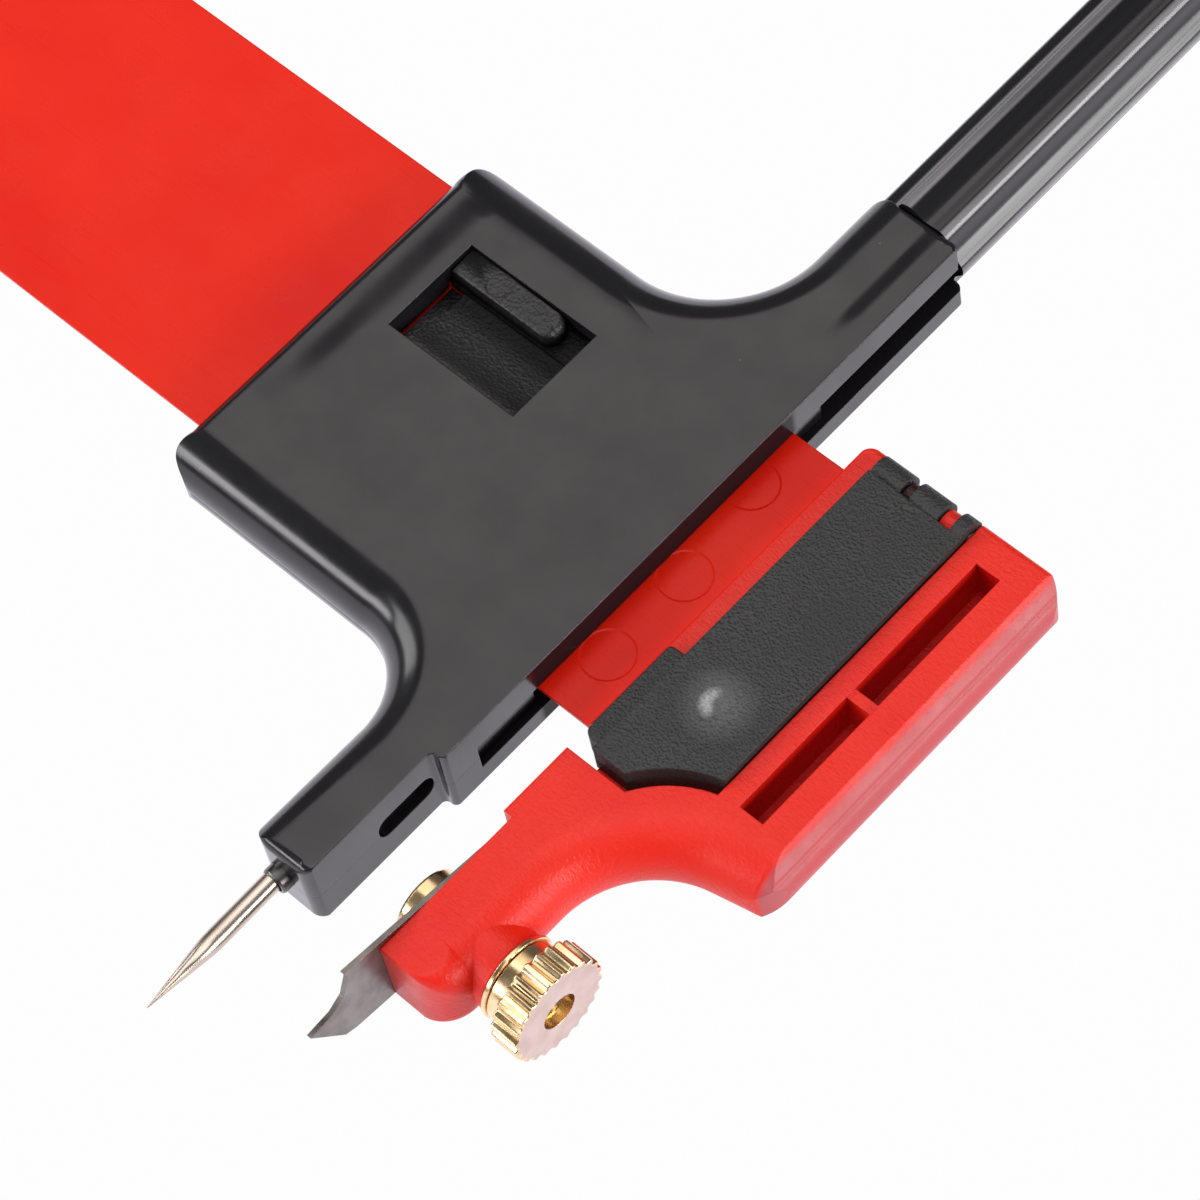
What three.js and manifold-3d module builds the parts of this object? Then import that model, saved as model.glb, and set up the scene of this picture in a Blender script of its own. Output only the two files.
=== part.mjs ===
// Circle cutter: a small compass for cutting discs, lying on its back.
// Sizes are in millimetres. X runs along the ruler arm towards the blade, Y along
// the needle and the handle, Z up out of the front face. The origin is on the
// back face of the body, under the needle axis, at the middle of the ruler arm.
import * as THREE from 'three';
import { mergeVertices } from 'three/addons/utils/BufferGeometryUtils.js';
import Module from 'manifold-3d';

const wasm = await Module();
wasm.setup();

// Driving sizes of the ruler arm
const beamWidth = 27;
const beamThickness = 2.65;
const beamBack = 1.96;
const beamTail = 88;
const beamCornerRadius = 2;
const beamBevel = 1.2;
const beamLand = 0.3;
const slideOut = 65.05;

// Driving sizes of the body: its walls past the ruler arm, and its two arms
const bodyThickness = 7.32;
const bodyRight = 4.17;
const bodyLeft = 30.05;
const bodyTopWall = 2.97;
const bodyBottomWall = 4.2;
const rimReach = 3.8;
const rimDrop = 3.6;
const backRimRadius = 3;
const leftRimReach = 1.9;
const leftRimDrop = 3.55;
const bodyCornerRadius = 2.4;
const handleArmLength = 15.53;
const handleArmLeft = 4.6;
const handleArmFillet = 9;
const needleArmLength = 17.65;
const needleArmLeft = 3.4;
const needleArmTaper = 0.5;
const needleArmRight = 3.1;
const needleArmWide = 5.1;
const needleArmFillet = 6.5;
const armEndRadius = 1;
const handleEndReach = 0.9;
const handleEndDrop = 0.5;
const needleEndRadius = 1.1;
const needleSideEdge = 2.6;
const needleArmCorner = 1.6;
const backEndRadius = 0.4;
const crispRadius = 0.15;
const armCornerRadius = 0.9;

// Driving sizes of the blade block and its neck, all moulded on the arm
const blockLeft = 9.25;
const blockRight = 28;
const blockTopWall = 2.67;
const blockBottomWall = 1.75;
const blockFront = 5.31;
const neckSetback = 0.05;
const neckWidth = 7.05;
const neckBack = 1.79;
const neckSeatLength = 13.2;
const neckOverhang = 0.15;
const bladeSeatDepth = 0.8;

// Driving sizes of the moving and fitted pieces
const needleRadius = 0.8;
const needleReach = 13.35;
const handleRadius = 4.17;
const handleLength = 51;
const handleFlutes = 7;
const spindleRadius = 1.25;
const bladeThickness = 0.4;
const bladeWidth = 7.6;
const spareBlades = 5;
const clampRadius = 1.45;
const clampHeight = 1.76;
const clampFromEnd = 5.5;
const nutWidth = 3.83;
const nutRadius = 4.3;

// Clearances
const slideGap = 0.12;
const runGap = 0.05;
const fitGap = 0.02;
const looseGap = 0.3;
const lockClearance = 0.2;
const overrun = 1;

// Places that several pieces share
const axisZ = bodyThickness / 2;
const beamFront = beamBack + beamThickness;
const beamHalf = beamWidth / 2;
const splitZ = beamBack + beamThickness / 2;
const channelFront = beamFront + slideGap;
const channelBack = beamBack - slideGap;
const channelHalf = beamHalf + slideGap;
const bodyTop = beamHalf + bodyTopWall;
const bodyBottom = beamHalf + bodyBottomWall;
const handleArmTop = bodyTop + handleArmLength;
const needleArmBottom = bodyBottom + needleArmLength;
const needleArmShoulder = bodyBottom + needleArmWide;
const blockTop = beamHalf + blockTopWall;
const blockBottom = beamHalf + blockBottomWall;
const neckLeft = blockLeft + neckSetback;
const neckRight = blockLeft + neckWidth;
const neckBottom = needleArmBottom + neckOverhang;
const neckShoulder = neckBottom - neckSeatLength;
const clampY = clampFromEnd - neckBottom;

// Geometry helpers
const arcStepsPerRadian = 4.5;
const edgeSteps = 4;
const curveSteps = 10;
const roundSides = 32;

function solidFrom(geometry) {
  const plain = geometry.index ? geometry.toNonIndexed() : geometry.clone();
  plain.deleteAttribute('normal');
  plain.deleteAttribute('uv');
  const merged = mergeVertices(plain);
  return new wasm.Manifold(new wasm.Mesh({
    numProp: 3,
    vertProperties: new Float32Array(merged.attributes.position.array),
    triVerts: new Uint32Array(merged.index.array),
  }));
}

function geometryFrom(solid) {
  const mesh = solid.getMesh();
  const geometry = new THREE.BufferGeometry();
  geometry.setAttribute('position', new THREE.BufferAttribute(mesh.vertProperties, mesh.numProp));
  geometry.setIndex(new THREE.BufferAttribute(mesh.triVerts, 1));
  const flat = geometry.toNonIndexed();
  flat.computeVertexNormals();
  return flat;
}

// A box between two corners
function box(x0, x1, y0, y1, z0, z1) {
  const geometry = new THREE.BoxGeometry(x1 - x0, y1 - y0, z1 - z0);
  geometry.translate((x0 + x1) / 2, (y0 + y1) / 2, (z0 + z1) / 2);
  return solidFrom(geometry);
}

// Points of a closed outline. A corner is [x, y, radius, edge before, edge after],
// and an edge says how far its rounding reaches in and how far it drops.
const sharp = { reach: 0, drop: 0 };
function outlinePoints(corners) {
  const points = [];
  const count = corners.length;
  corners.forEach(([x, y, radius, before = sharp, after = before], index) => {
    const corner = new THREE.Vector2(x, y);
    if (radius === 0) {
      points.push({ x, y, reach: after.reach, drop: after.drop });
      return;
    }
    const back = new THREE.Vector2(...corners[(index + count - 1) % count]).sub(corner).normalize();
    const ahead = new THREE.Vector2(...corners[(index + 1) % count]).sub(corner).normalize();
    const half = Math.acos(back.dot(ahead)) / 2;
    const centre = back.clone().add(ahead).normalize().multiplyScalar(radius / Math.sin(half)).add(corner);
    const first = back.clone().multiplyScalar(radius / Math.tan(half)).add(corner).sub(centre);
    const last = ahead.clone().multiplyScalar(radius / Math.tan(half)).add(corner).sub(centre);
    const turn = Math.atan2(first.x * last.y - first.y * last.x, first.dot(last));
    const steps = Math.max(3, Math.round(Math.abs(turn) * arcStepsPerRadian));
    for (let step = 0; step <= steps; step += 1) {
      const share = step / steps;
      const place = first.clone().rotateAround(new THREE.Vector2(), turn * share).add(centre);
      points.push({
        x: place.x,
        y: place.y,
        reach: before.reach + (after.reach - before.reach) * share,
        drop: before.drop + (after.drop - before.drop) * share,
      });
    }
  });
  return points;
}

// A plate of such an outline, wound anticlockwise, between two heights
function plate(corners, z0, z1) {
  const points = outlinePoints(corners);
  const count = points.length;
  const rings = [];
  const inward = points.map((point, index) => {
    const before = points[(index + count - 1) % count];
    const after = points[(index + 1) % count];
    const one = new THREE.Vector2(before.y - point.y, point.x - before.x).normalize();
    const two = new THREE.Vector2(point.y - after.y, after.x - point.x).normalize();
    const middle = one.clone().add(two).normalize();
    return middle.multiplyScalar(1 / middle.dot(one));
  });
  const rounded = points.some((point) => point.drop > 0);
  const steps = rounded ? edgeSteps : 0;
  for (let step = steps; step >= 0; step -= 1) {
    const angle = rounded ? (Math.PI / 2) * (step / steps) : 0;
    rings.push(points.map((point, index) => [
      point.x + inward[index].x * point.reach * (1 - Math.cos(angle)),
      point.y + inward[index].y * point.reach * (1 - Math.cos(angle)),
      z0 + point.drop * (1 - Math.sin(angle)),
    ]));
  }
  const mirrored = rings.map((ring) => ring.map(([x, y, z]) => [x, y, z0 + z1 - z])).reverse();
  const all = [...rings, ...mirrored];
  const faces = [];
  for (let ring = 0; ring < all.length - 1; ring += 1) {
    for (let index = 0; index < count; index += 1) {
      const next = (index + 1) % count;
      const low = ring * count;
      const high = low + count;
      faces.push(low + index, low + next, high + next, low + index, high + next, high + index);
    }
  }
  const cap = THREE.ShapeUtils.triangulateShape(rings[0].map(([x, y]) => new THREE.Vector2(x, y)), []);
  const top = (all.length - 1) * count;
  cap.forEach(([p, q, r]) => faces.push(p, r, q, top + p, top + q, top + r));
  const geometry = new THREE.BufferGeometry();
  geometry.setAttribute('position', new THREE.Float32BufferAttribute(all.flat(2), 3));
  geometry.setIndex(faces);
  return solidFrom(geometry);
}

// A turned solid about Y through (x, z): profile points are [radius, y]
function turned(profile, x = 0, z = axisZ, sides = roundSides) {
  const points = profile.map(([radius, y]) => new THREE.Vector2(radius, y));
  const geometry = new THREE.LatheGeometry(points, sides);
  geometry.translate(x, 0, z);
  return solidFrom(geometry);
}

// The same about X through (y, z): profile points are [radius, x]
function turnedAlongX(profile, y, z, sides = roundSides) {
  const points = profile.map(([radius, x]) => new THREE.Vector2(radius, x));
  const geometry = new THREE.LatheGeometry(points, sides);
  geometry.rotateZ(-Math.PI / 2);
  geometry.translate(0, y, z);
  return solidFrom(geometry);
}

const rod = (radius, y0, y1, sides) =>
  turned([[0, y0], [radius, y0], [radius, y1], [0, y1]], 0, axisZ, sides);
const rodAlongX = (radius, x0, x1, y, z, sides) =>
  turnedAlongX([[0, x0], [radius, x0], [radius, x1], [0, x1]], y, z, sides);

const group = new THREE.Group();
group.name = 'circle_cutter';

function addPiece(name, solid, look) {
  const mesh = new THREE.Mesh(geometryFrom(solid), new THREE.MeshStandardMaterial(look));
  mesh.name = name;
  group.add(mesh);
}

// Looks
const glossBlack = { color: 0x17161a, roughness: 0.18, metalness: 0 };
const grainBlack = { color: 0x2c2b2d, roughness: 0.75, metalness: 0 };
const red = { color: 0xe02318, roughness: 0.4, metalness: 0 };
const brass = { color: 0xc9a25a, roughness: 0.28, metalness: 1 };
const steel = { color: 0xb9b6b2, roughness: 0.25, metalness: 1 };
const rubber = { color: 0x202020, roughness: 0.95, metalness: 0 };

// Body shells: two mouldings that meet at the middle of the ruler arm
const windowLeft = 24.13;
const windowRight = 11.37;
const windowBottom = 0.67;
const windowTop = 9.57;
const shellLedge = 6;
const sideSlotDepth = 1.57;
const lowerGuideLength = 6.18;
const sideSlotBottom = channelHalf + lowerGuideLength;
const guideDepth = 6.5;
const guideLength = 3.3;
const recessLength = 5.5;
const recessHeight = 2.2;
const recessFromEnd = 9.3;
const recessY = recessFromEnd - needleArmBottom;

const holderRadius = 1.75;
const holderLength = 10.6;
const holderLip = 0.5;
const holderShoulder = needleArmBottom - holderLip;
const holderTop = holderShoulder - holderLength;
const collarRadius = 1.1;
const collarReach = 0.9;
const collarBottom = needleArmBottom + collarReach;
const spindleGrip = 12;
const spindleBottom = handleArmTop - spindleGrip;
const flangeRadius = 2.1;
const flangeDepth = 10.5;
const flangeY = handleArmTop - flangeDepth;
const flangeThickness = 1.6;

const edge = (reach, drop = reach) => ({ reach, drop });
const crisp = edge(crispRadius);
const pastEnd = 4;
const pastLeft = -bodyLeft - pastEnd;
const pastHandleEnd = handleArmTop + pastEnd;
const pastNeedleEnd = needleArmBottom + pastEnd;
const bodyOutline = (rim, needleSide) => [
  [bodyRight, pastHandleEnd, 0, crisp],
  [-handleArmLeft, pastHandleEnd, 0, rim],
  [-handleArmLeft, bodyTop, handleArmFillet, rim],
  [pastLeft, bodyTop, 0, rim],
  [pastLeft, -bodyBottom, 0, rim],
  [-needleArmLeft, -bodyBottom, needleArmFillet, rim],
  [-needleArmLeft + needleArmTaper, -pastNeedleEnd, 0, needleSide],
  [needleArmRight, -pastNeedleEnd, 0, crisp],
  [needleArmRight, -needleArmShoulder, 0, crisp],
  [bodyRight, -needleArmShoulder, 0, crisp],
];
const frontBlank = plate(bodyOutline(edge(rimReach, rimDrop), edge(needleSideEdge)), 0, bodyThickness);
const backBlank = plate(bodyOutline(edge(backRimRadius), edge(backRimRadius / 2)), 0, bodyThickness);

// Body ends: each blank runs past its three ends and is cut back to their rounded shape
const trimGap = 0.1;
const leftEnd = edge(leftRimReach, leftRimDrop);
const leftCut = box(pastLeft - overrun, -bodyLeft / 2, -bodyBottom - overrun, bodyTop + overrun,
  -overrun, bodyThickness + overrun).subtract(plate([
  [-bodyLeft, bodyTop, bodyCornerRadius, crisp, leftEnd],
  [-bodyLeft, -bodyBottom, bodyCornerRadius, leftEnd, crisp],
  [0, -bodyBottom, 0, crisp],
  [0, bodyTop, 0, crisp],
], 0, bodyThickness));
const armLeft = -handleArmLeft - trimGap;
const armRight = bodyRight + trimGap;
const handleCut = (end) => box(armLeft - overrun, armRight + overrun, handleArmTop - spindleGrip / 2,
  pastHandleEnd + overrun, -overrun, bodyThickness + overrun).subtract(plate([
  [armRight, handleArmTop, armCornerRadius, crisp, end],
  [armLeft, handleArmTop, armEndRadius, end, crisp],
  [armLeft, bodyTop, 0, crisp],
  [armRight, bodyTop, 0, crisp],
], 0, bodyThickness));
const needleCut = (end) => box(-needleArmLeft - overrun, armRight, -pastNeedleEnd - overrun,
  -needleArmBottom + needleArmCorner + trimGap, -overrun, bodyThickness + overrun).subtract(plate([
  [-needleArmLeft, -needleArmBottom, needleArmCorner, crisp, end],
  [needleArmRight + trimGap, -needleArmBottom, needleEndRadius, end, crisp],
  [needleArmRight + trimGap, -bodyBottom, 0, crisp],
  [-needleArmLeft, -bodyBottom, 0, crisp],
], 0, bodyThickness));

const sideSlotLeft = bodyRight - sideSlotDepth;
const bodyCuts = [
  box(pastLeft, bodyRight + overrun, -channelHalf, channelHalf, channelBack, channelFront),
  box(sideSlotLeft, bodyRight + overrun, -sideSlotBottom, handleArmTop + overrun, channelBack, channelFront),
  box(bodyRight - guideDepth, bodyRight, channelHalf - overrun, channelHalf + guideLength,
    channelBack, channelFront),
  box(bodyRight - guideDepth, bodyRight, -sideSlotBottom, -channelHalf + overrun,
    channelBack, channelFront),
  rod(spindleRadius + fitGap, spindleBottom - looseGap, handleArmTop + overrun),
  rod(flangeRadius + fitGap, flangeY - fitGap, flangeY + flangeThickness + fitGap),
  rod(holderRadius + fitGap, -holderShoulder - fitGap, -holderTop + fitGap),
  rod(collarRadius + fitGap, -needleArmBottom - overrun, -holderShoulder),
];

const recessRadiusShare = 0.45;
const recessRadius = recessHeight * recessRadiusShare;
const sideRecess = plate([
  [-recessHeight / 2, -recessLength / 2, recessRadius],
  [recessHeight / 2, -recessLength / 2, recessRadius],
  [recessHeight / 2, recessLength / 2, recessRadius],
  [-recessHeight / 2, recessLength / 2, recessRadius],
], 0, needleArmRight + overrun).rotate([0, 90, 0]).translate([0, recessY, axisZ]);

// The stop ridge under the tail of the arm runs in this groove and ends on its wall
const stopRidgeLength = 1.2;
const stopRidgeHeight = 0.6;
const stopRidgeHalf = 6;
const stopGrooveEnd = -beamTail + slideOut + stopRidgeLength + slideGap;
const stopGrooveHalf = stopRidgeHalf + slideGap;
const stopGroove = box(pastLeft, stopGrooveEnd, -stopGrooveHalf, stopGrooveHalf,
  channelBack - stopRidgeHeight, splitZ);

const lockPocketLeft = 27.7;
const lockPocketRight = 9.6;
const lockPocketBottom = 0.6;
const lockPocketTop = 10.6;
const lockHeel = 6.8;
const lockWindow = box(-windowLeft, -windowRight, windowBottom, windowTop, splitZ, bodyThickness + overrun)
  .add(box(-windowLeft, -lockPocketRight, -lockPocketBottom, lockPocketTop, splitZ, shellLedge))
  .add(box(-lockPocketLeft, -windowRight, lockHeel, lockPocketTop, splitZ, shellLedge));

const wideCut = bodyLeft + needleArmBottom;
const above = box(-wideCut, wideCut, -wideCut, wideCut, splitZ, bodyThickness + overrun);
const below = box(-wideCut, wideCut, -wideCut, wideCut, -overrun, splitZ);
const shell = (blank, half, handleEnd, needleEnd) => [
  leftCut, handleCut(handleEnd), needleCut(needleEnd), ...bodyCuts, sideRecess]
  .reduce((solid, cut) => solid.subtract(cut), blank.intersect(half));
const frontEnds = [edge(handleEndReach, handleEndDrop), edge(needleEndRadius)];
const backEnds = [edge(backEndRadius), edge(backEndRadius)];
addPiece('body_front_shell', shell(frontBlank, above, ...frontEnds).subtract(lockWindow), glossBlack);
addPiece('body_back_shell', shell(backBlank, below, ...backEnds).subtract(stopGroove), glossBlack);

// Lock: a thumb slider with a rubber brake pad let into its foot, and the leaf beside it
const lockRest = beamFront + lockClearance;
const lockTop = 6.75;
const lockLow = 5.35;
const lockLeft = 22.5;
const lockRight = windowRight + looseGap;
const lockHeelLength = 0.7;
const lockFlange = shellLedge - fitGap;
const lockEdge = windowBottom + lockClearance;
const thumbSection = new THREE.Shape();
thumbSection.moveTo(-lockPocketBottom + looseGap, lockRest);
thumbSection.lineTo(lockHeel, lockRest);
thumbSection.lineTo(lockHeel, lockLow + looseGap);
thumbSection.quadraticCurveTo((lockEdge + lockHeel) / 2, lockLow, lockEdge + looseGap, lockTop);
thumbSection.lineTo(lockEdge, lockTop);
thumbSection.lineTo(lockEdge, lockFlange);
thumbSection.lineTo(-lockPocketBottom + looseGap, lockFlange);
thumbSection.closePath();
const thumbGeometry = new THREE.ExtrudeGeometry(thumbSection, {
  depth: lockLeft - lockRight,
  curveSegments: curveSteps,
  bevelEnabled: false,
});
thumbGeometry.rotateX(Math.PI / 2);
thumbGeometry.rotateZ(Math.PI / 2);
thumbGeometry.translate(-lockLeft, 0, 0);
const padInset = 1.4;
const padThickness = 0.6;
const padBottom = beamFront + runGap;
const padSpace = (gap) => box(-lockLeft + padInset - gap, -lockRight - padInset + gap, padInset - gap,
  lockHeel - padInset + gap, padBottom - gap, padBottom + padThickness + gap);
const lockToe = box(-lockRight - padInset, -lockPocketRight - looseGap, looseGap, lockHeel,
  lockRest, lockLow);
const lockHeelFoot = box(-lockLeft - lockHeelLength, -lockLeft, lockEdge, lockHeel, lockRest, lockLow);
addPiece('lock_slider', solidFrom(thumbGeometry).add(lockToe).add(lockHeelFoot).subtract(padSpace(fitGap)),
  grainBlack);
addPiece('brake_pad', padSpace(0), rubber);

const leafWidth = 2.2;
const leafTop = 6.9;
const leafTip = 14;
const leafGap = 0.15;
const leafHigh = windowTop - leafGap;
const leafRadiusShare = 0.45;
const leafRadius = leafWidth * leafRadiusShare;
const leafOutline = [
  [-windowLeft + leafGap, leafHigh - leafWidth, 0],
  [-leafTip, leafHigh - leafWidth, leafRadius],
  [-leafTip, leafHigh, leafRadius],
  [-windowLeft + leafGap, leafHigh, 0],
];
const leafRoot = box(-lockPocketLeft + leafGap, -windowLeft + leafWidth, lockHeel + leafGap,
  lockPocketTop - leafGap, lockRest, lockFlange);
const leafFoot = box(-windowLeft, -windowRight - leafGap, lockHeel + leafGap,
  lockPocketTop - leafGap, lockRest, lockLow);
addPiece('lock_leaf', plate(leafOutline, lockRest, leafTop).add(leafRoot).add(leafFoot), grainBlack);

// Guide shoes: plastic blocks that line the two edges of the ruler arm
const shoeLeft = bodyRight - guideDepth + looseGap / 2;
const shoeRight = bodyRight - looseGap * 2;
const shoeBack = beamBack + fitGap;
const shoeFront = beamFront - fitGap;
addPiece('upper_guide_shoe', box(shoeLeft, shoeRight, beamHalf + slideGap, channelHalf + guideLength - fitGap,
  shoeBack, shoeFront), glossBlack);
addPiece('lower_guide_shoe', box(shoeLeft, shoeRight, -sideSlotBottom + fitGap, -beamHalf - slideGap,
  shoeBack, shoeFront), glossBlack);

// Needle and its holder
const needleTaper = 6.3;
const needleShare = 0.54;
const needlePoint = 1.1;
const needlePointRadius = 0.3;
const needleRoot = 1;
const needleTip = needleArmBottom + needleReach;
const needleInset = holderTop + needleRoot;
const holderBore = needleRadius + fitGap;
addPiece('needle', turned([
  [0, -needleTip], [needlePointRadius, -needleTip + needlePoint],
  [needlePointRadius + (needleRadius - needlePointRadius) * needleShare, -needleTip + needleTaper * needleShare],
  [needleRadius, -needleTip + needleTaper], [needleRadius, -needleInset], [0, -needleInset],
]), steel);
addPiece('needle_holder', turned([
  [holderBore, -collarBottom], [collarRadius, -collarBottom], [collarRadius, -holderShoulder],
  [holderRadius, -holderShoulder], [holderRadius, -holderTop], [0, -holderTop],
  [0, -needleInset + fitGap], [holderBore, -needleInset + fitGap], [holderBore, -collarBottom],
]), steel);

// Handle: fluted tube that turns freely on the spindle
const fluteDepth = 0.6;
const landShare = 0.3;
const landAngle = 0.923;
const handleGap = 0.15;
const handleBottom = handleArmTop + handleGap;
const handleTop = handleBottom + handleLength;
const handleBore = spindleRadius + runGap;
const clipBore = 2.9;
const clipDepth = 12.15;
const clipShelf = handleTop - clipDepth;
const spindleStop = 9.15;
const spindleTop = handleTop - spindleStop;

const fluteShape = new THREE.Shape();
const fluteSteps = 8;
const fluteAngle = 2 * Math.PI / handleFlutes;
for (let index = 0; index < handleFlutes; index += 1) {
  for (let step = 0; step < fluteSteps; step += 1) {
    const share = step / fluteSteps;
    const across = Math.max(0, (share - landShare) / (1 - landShare));
    const radius = handleRadius - fluteDepth * Math.sin(Math.PI * across);
    const angle = landAngle + fluteAngle * (index + share - landShare / 2);
    const x = radius * Math.cos(angle);
    const y = -radius * Math.sin(angle);
    if (index === 0 && step === 0) fluteShape.moveTo(x, y);
    else fluteShape.lineTo(x, y);
  }
}
fluteShape.closePath();
const gripGeometry = new THREE.ExtrudeGeometry(fluteShape, { depth: handleLength, bevelEnabled: false });
gripGeometry.translate(0, 0, handleBottom);
gripGeometry.rotateX(-Math.PI / 2);
gripGeometry.translate(0, 0, axisZ);
const grip = solidFrom(gripGeometry)
  .subtract(rod(handleBore, handleBottom - overrun, handleTop + overrun, roundSides / 2))
  .subtract(rod(clipBore, clipShelf, handleTop + overrun));
addPiece('handle_grip', grip, glossBlack);

const capHeight = 2.4;
const capPlug = 4.5;
const capEdge = 0.9;
const capEdgeShare = 0.3;
addPiece('handle_end_cap', turned([
  [0, handleTop - capPlug], [clipBore - fitGap, handleTop - capPlug], [clipBore - fitGap, handleTop],
  [handleRadius, handleTop], [handleRadius, handleTop + capHeight - capEdge],
  [handleRadius - capEdge * capEdgeShare, handleTop + capHeight - capEdge * capEdgeShare],
  [handleRadius - capEdge, handleTop + capHeight], [0, handleTop + capHeight],
]), glossBlack);

const clipGroove = 0.35;
const clipThickness = 0.5;
const washerThickness = 0.5;
const washerY = clipShelf + runGap;
const clipY = washerY + washerThickness + runGap;
const clipRadius = 2.4;
const clipMouth = 1.1;
addPiece('spindle', turned([
  [0, spindleBottom], [spindleRadius, spindleBottom], [spindleRadius, flangeY], [flangeRadius, flangeY],
  [flangeRadius, flangeY + flangeThickness], [spindleRadius, flangeY + flangeThickness],
  [spindleRadius, clipY], [spindleRadius - clipGroove, clipY],
  [spindleRadius - clipGroove, clipY + clipThickness + runGap],
  [spindleRadius, clipY + clipThickness + runGap], [spindleRadius, spindleTop], [0, spindleTop],
]), steel);
addPiece('spindle_washer', turned([
  [handleBore, washerY], [clipBore - runGap * 2, washerY],
  [clipBore - runGap * 2, washerY + washerThickness], [handleBore, washerY + washerThickness],
  [handleBore, washerY],
]), steel);
const clipRing = turned([
  [spindleRadius - clipGroove + fitGap, clipY + fitGap], [clipRadius, clipY + fitGap],
  [clipRadius, clipY + clipThickness], [spindleRadius - clipGroove + fitGap, clipY + clipThickness],
  [spindleRadius - clipGroove + fitGap, clipY + fitGap],
]);
addPiece('spindle_clip', clipRing.subtract(box(0, clipRadius + overrun, clipY - overrun,
  clipY + clipThickness + overrun, axisZ - clipMouth / 2, axisZ + clipMouth / 2)), steel);

// Ruler arm: beam, blade block and neck in one moulding
const beam = plate([
  [-beamTail, -beamHalf, beamCornerRadius],
  [blockLeft + overrun, -beamHalf, 0],
  [blockLeft + overrun, beamHalf, 0],
  [-beamTail, beamHalf, beamCornerRadius],
], beamBack, beamFront)
  .intersect(plate([
    [beamBack, -beamHalf + beamBevel, 0], [beamFront - beamLand, -beamHalf, 0],
    [beamFront + overrun, -beamHalf, 0], [beamFront + overrun, beamHalf, 0],
    [beamFront - beamLand, beamHalf, 0], [beamBack, beamHalf - beamBevel, 0],
  ], -beamTail - overrun, blockLeft + 2 * overrun).rotate([0, -90, 0]).mirror([1, 0, 0]))
  .add(box(-beamTail, -beamTail + stopRidgeLength, -stopRidgeHalf, stopRidgeHalf,
    channelBack - stopRidgeHeight + fitGap, beamBack + fitGap));

// Block and neck as one soft plate, its right side then cut to the moulded profile
const sweepReach = 4.1;
const sweepDrop = 3.4;
const sweepRadius = 8.2;
const sweepCornerDrop = 4.35;
const tipDrop = 1.1;
const sweepCornerY = beamHalf + sweepCornerDrop;
const neckEdgeReach = 3.3;
const neckEdgeDrop = 3.4;
const neckCornerRadius = 3.3;
const rimEdgeRadius = 0.15;
const topEdgeRadius = 0.6;
const topCornerRadius = 1;
const rightCornerRadius = 1.6;
const tipRadius = 3.4;
const sideSpread = 6;
const sweepEdge = { reach: sweepReach, drop: sweepDrop };
const neckEdge = { reach: neckEdgeReach, drop: neckEdgeDrop };
const rimEdge = { reach: rimEdgeRadius, drop: rimEdgeRadius };
const topEdge = { reach: topEdgeRadius, drop: topEdgeRadius };
const blockOutline = [
  [blockRight + sideSpread, blockTop, 0, topEdge],
  [blockLeft, blockTop, topCornerRadius, topEdge, rimEdge],
  [blockLeft, -neckBottom, 0, rimEdge],
  [neckRight, -neckBottom, neckCornerRadius, rimEdge, neckEdge],
  [neckRight, -sweepCornerY, sweepRadius, neckEdge, sweepEdge],
  [blockRight + sideSpread, -blockBottom + tipDrop, 0, sweepEdge],
];
const sideProfileShares = [[0.36, 1], [0.63, 0.75], [1, 0.5], [0.66, 0.2], [0, 0]];
const sideDepth = 1.75;
const sidePoint = ([out, up]) => [blockRight - sideDepth * (1 - out), blockFront * up, 0];
const sidePrism = plate([
  [-blockRight * 2, blockFront + overrun, 0],
  [-blockRight * 2, -neckBack - overrun, 0],
  [blockRight - sideDepth, -neckBack - overrun, 0],
  ...sideProfileShares.toReversed().map(sidePoint),
  [blockRight - sideDepth * (1 - sideProfileShares[0][0]), blockFront + overrun, 0],
], -blockTop - overrun, neckBottom + overrun).rotate([90, 0, 0]);

const bossRadius = 3.2;
const bossLength = 0.78;
const bossEnd = neckRight + bossLength;
const sweepSlope = (sweepCornerY - blockBottom + tipDrop) / (blockRight + sideSpread - neckRight);
const tipY = -sweepCornerY + sweepSlope * (blockRight - neckRight);
const roundCorner = (radius, y, turn) => {
  const inside = y - turn * radius;
  const left = blockRight - radius;
  return box(left, blockRight + overrun, Math.min(inside, y + turn * overrun),
    Math.max(inside, y + turn * overrun), -neckBack - overrun, blockFront + overrun)
    .subtract(turnedDisc(radius, left, inside, -neckBack - 2 * overrun, blockFront + 2 * overrun));
};
const blockBlank = plate(blockOutline, -neckBack, blockFront).intersect(sidePrism)
  .subtract(roundCorner(rightCornerRadius, blockTop, 1)).subtract(roundCorner(tipRadius, tipY, -1))
  .add(rodAlongX(bossRadius, neckRight - neckEdgeReach, bossEnd, clampY, clampHeight));

const notchWidth = 2.35;
const neckTopY = -beamHalf - notchWidth;
const stepDrop = 4;
const neckStepY = -beamHalf - stepDrop;
const seatX = neckLeft + bladeSeatDepth;
const notchReach = 2.05;
const tallLow = -neckBack - overrun;
const tallHigh = blockFront + overrun;
const farLeft = blockLeft - overrun;
const blockCuts = [
  box(farLeft, blockLeft + notchReach, neckTopY, -beamHalf, tallLow, tallHigh),
  box(farLeft, neckLeft, -neckShoulder, neckTopY, tallLow, tallHigh),
  box(farLeft, seatX, -neckBottom - overrun, -neckShoulder, tallLow, tallHigh),
  box(farLeft, blockRight + overrun, neckStepY, blockTop + overrun, tallLow, 0),
];
const clampHoleRadius = clampRadius + runGap * 2;
const clampHole = rodAlongX(clampHoleRadius, seatX - overrun, bossEnd + overrun, clampY, clampHeight);

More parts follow.
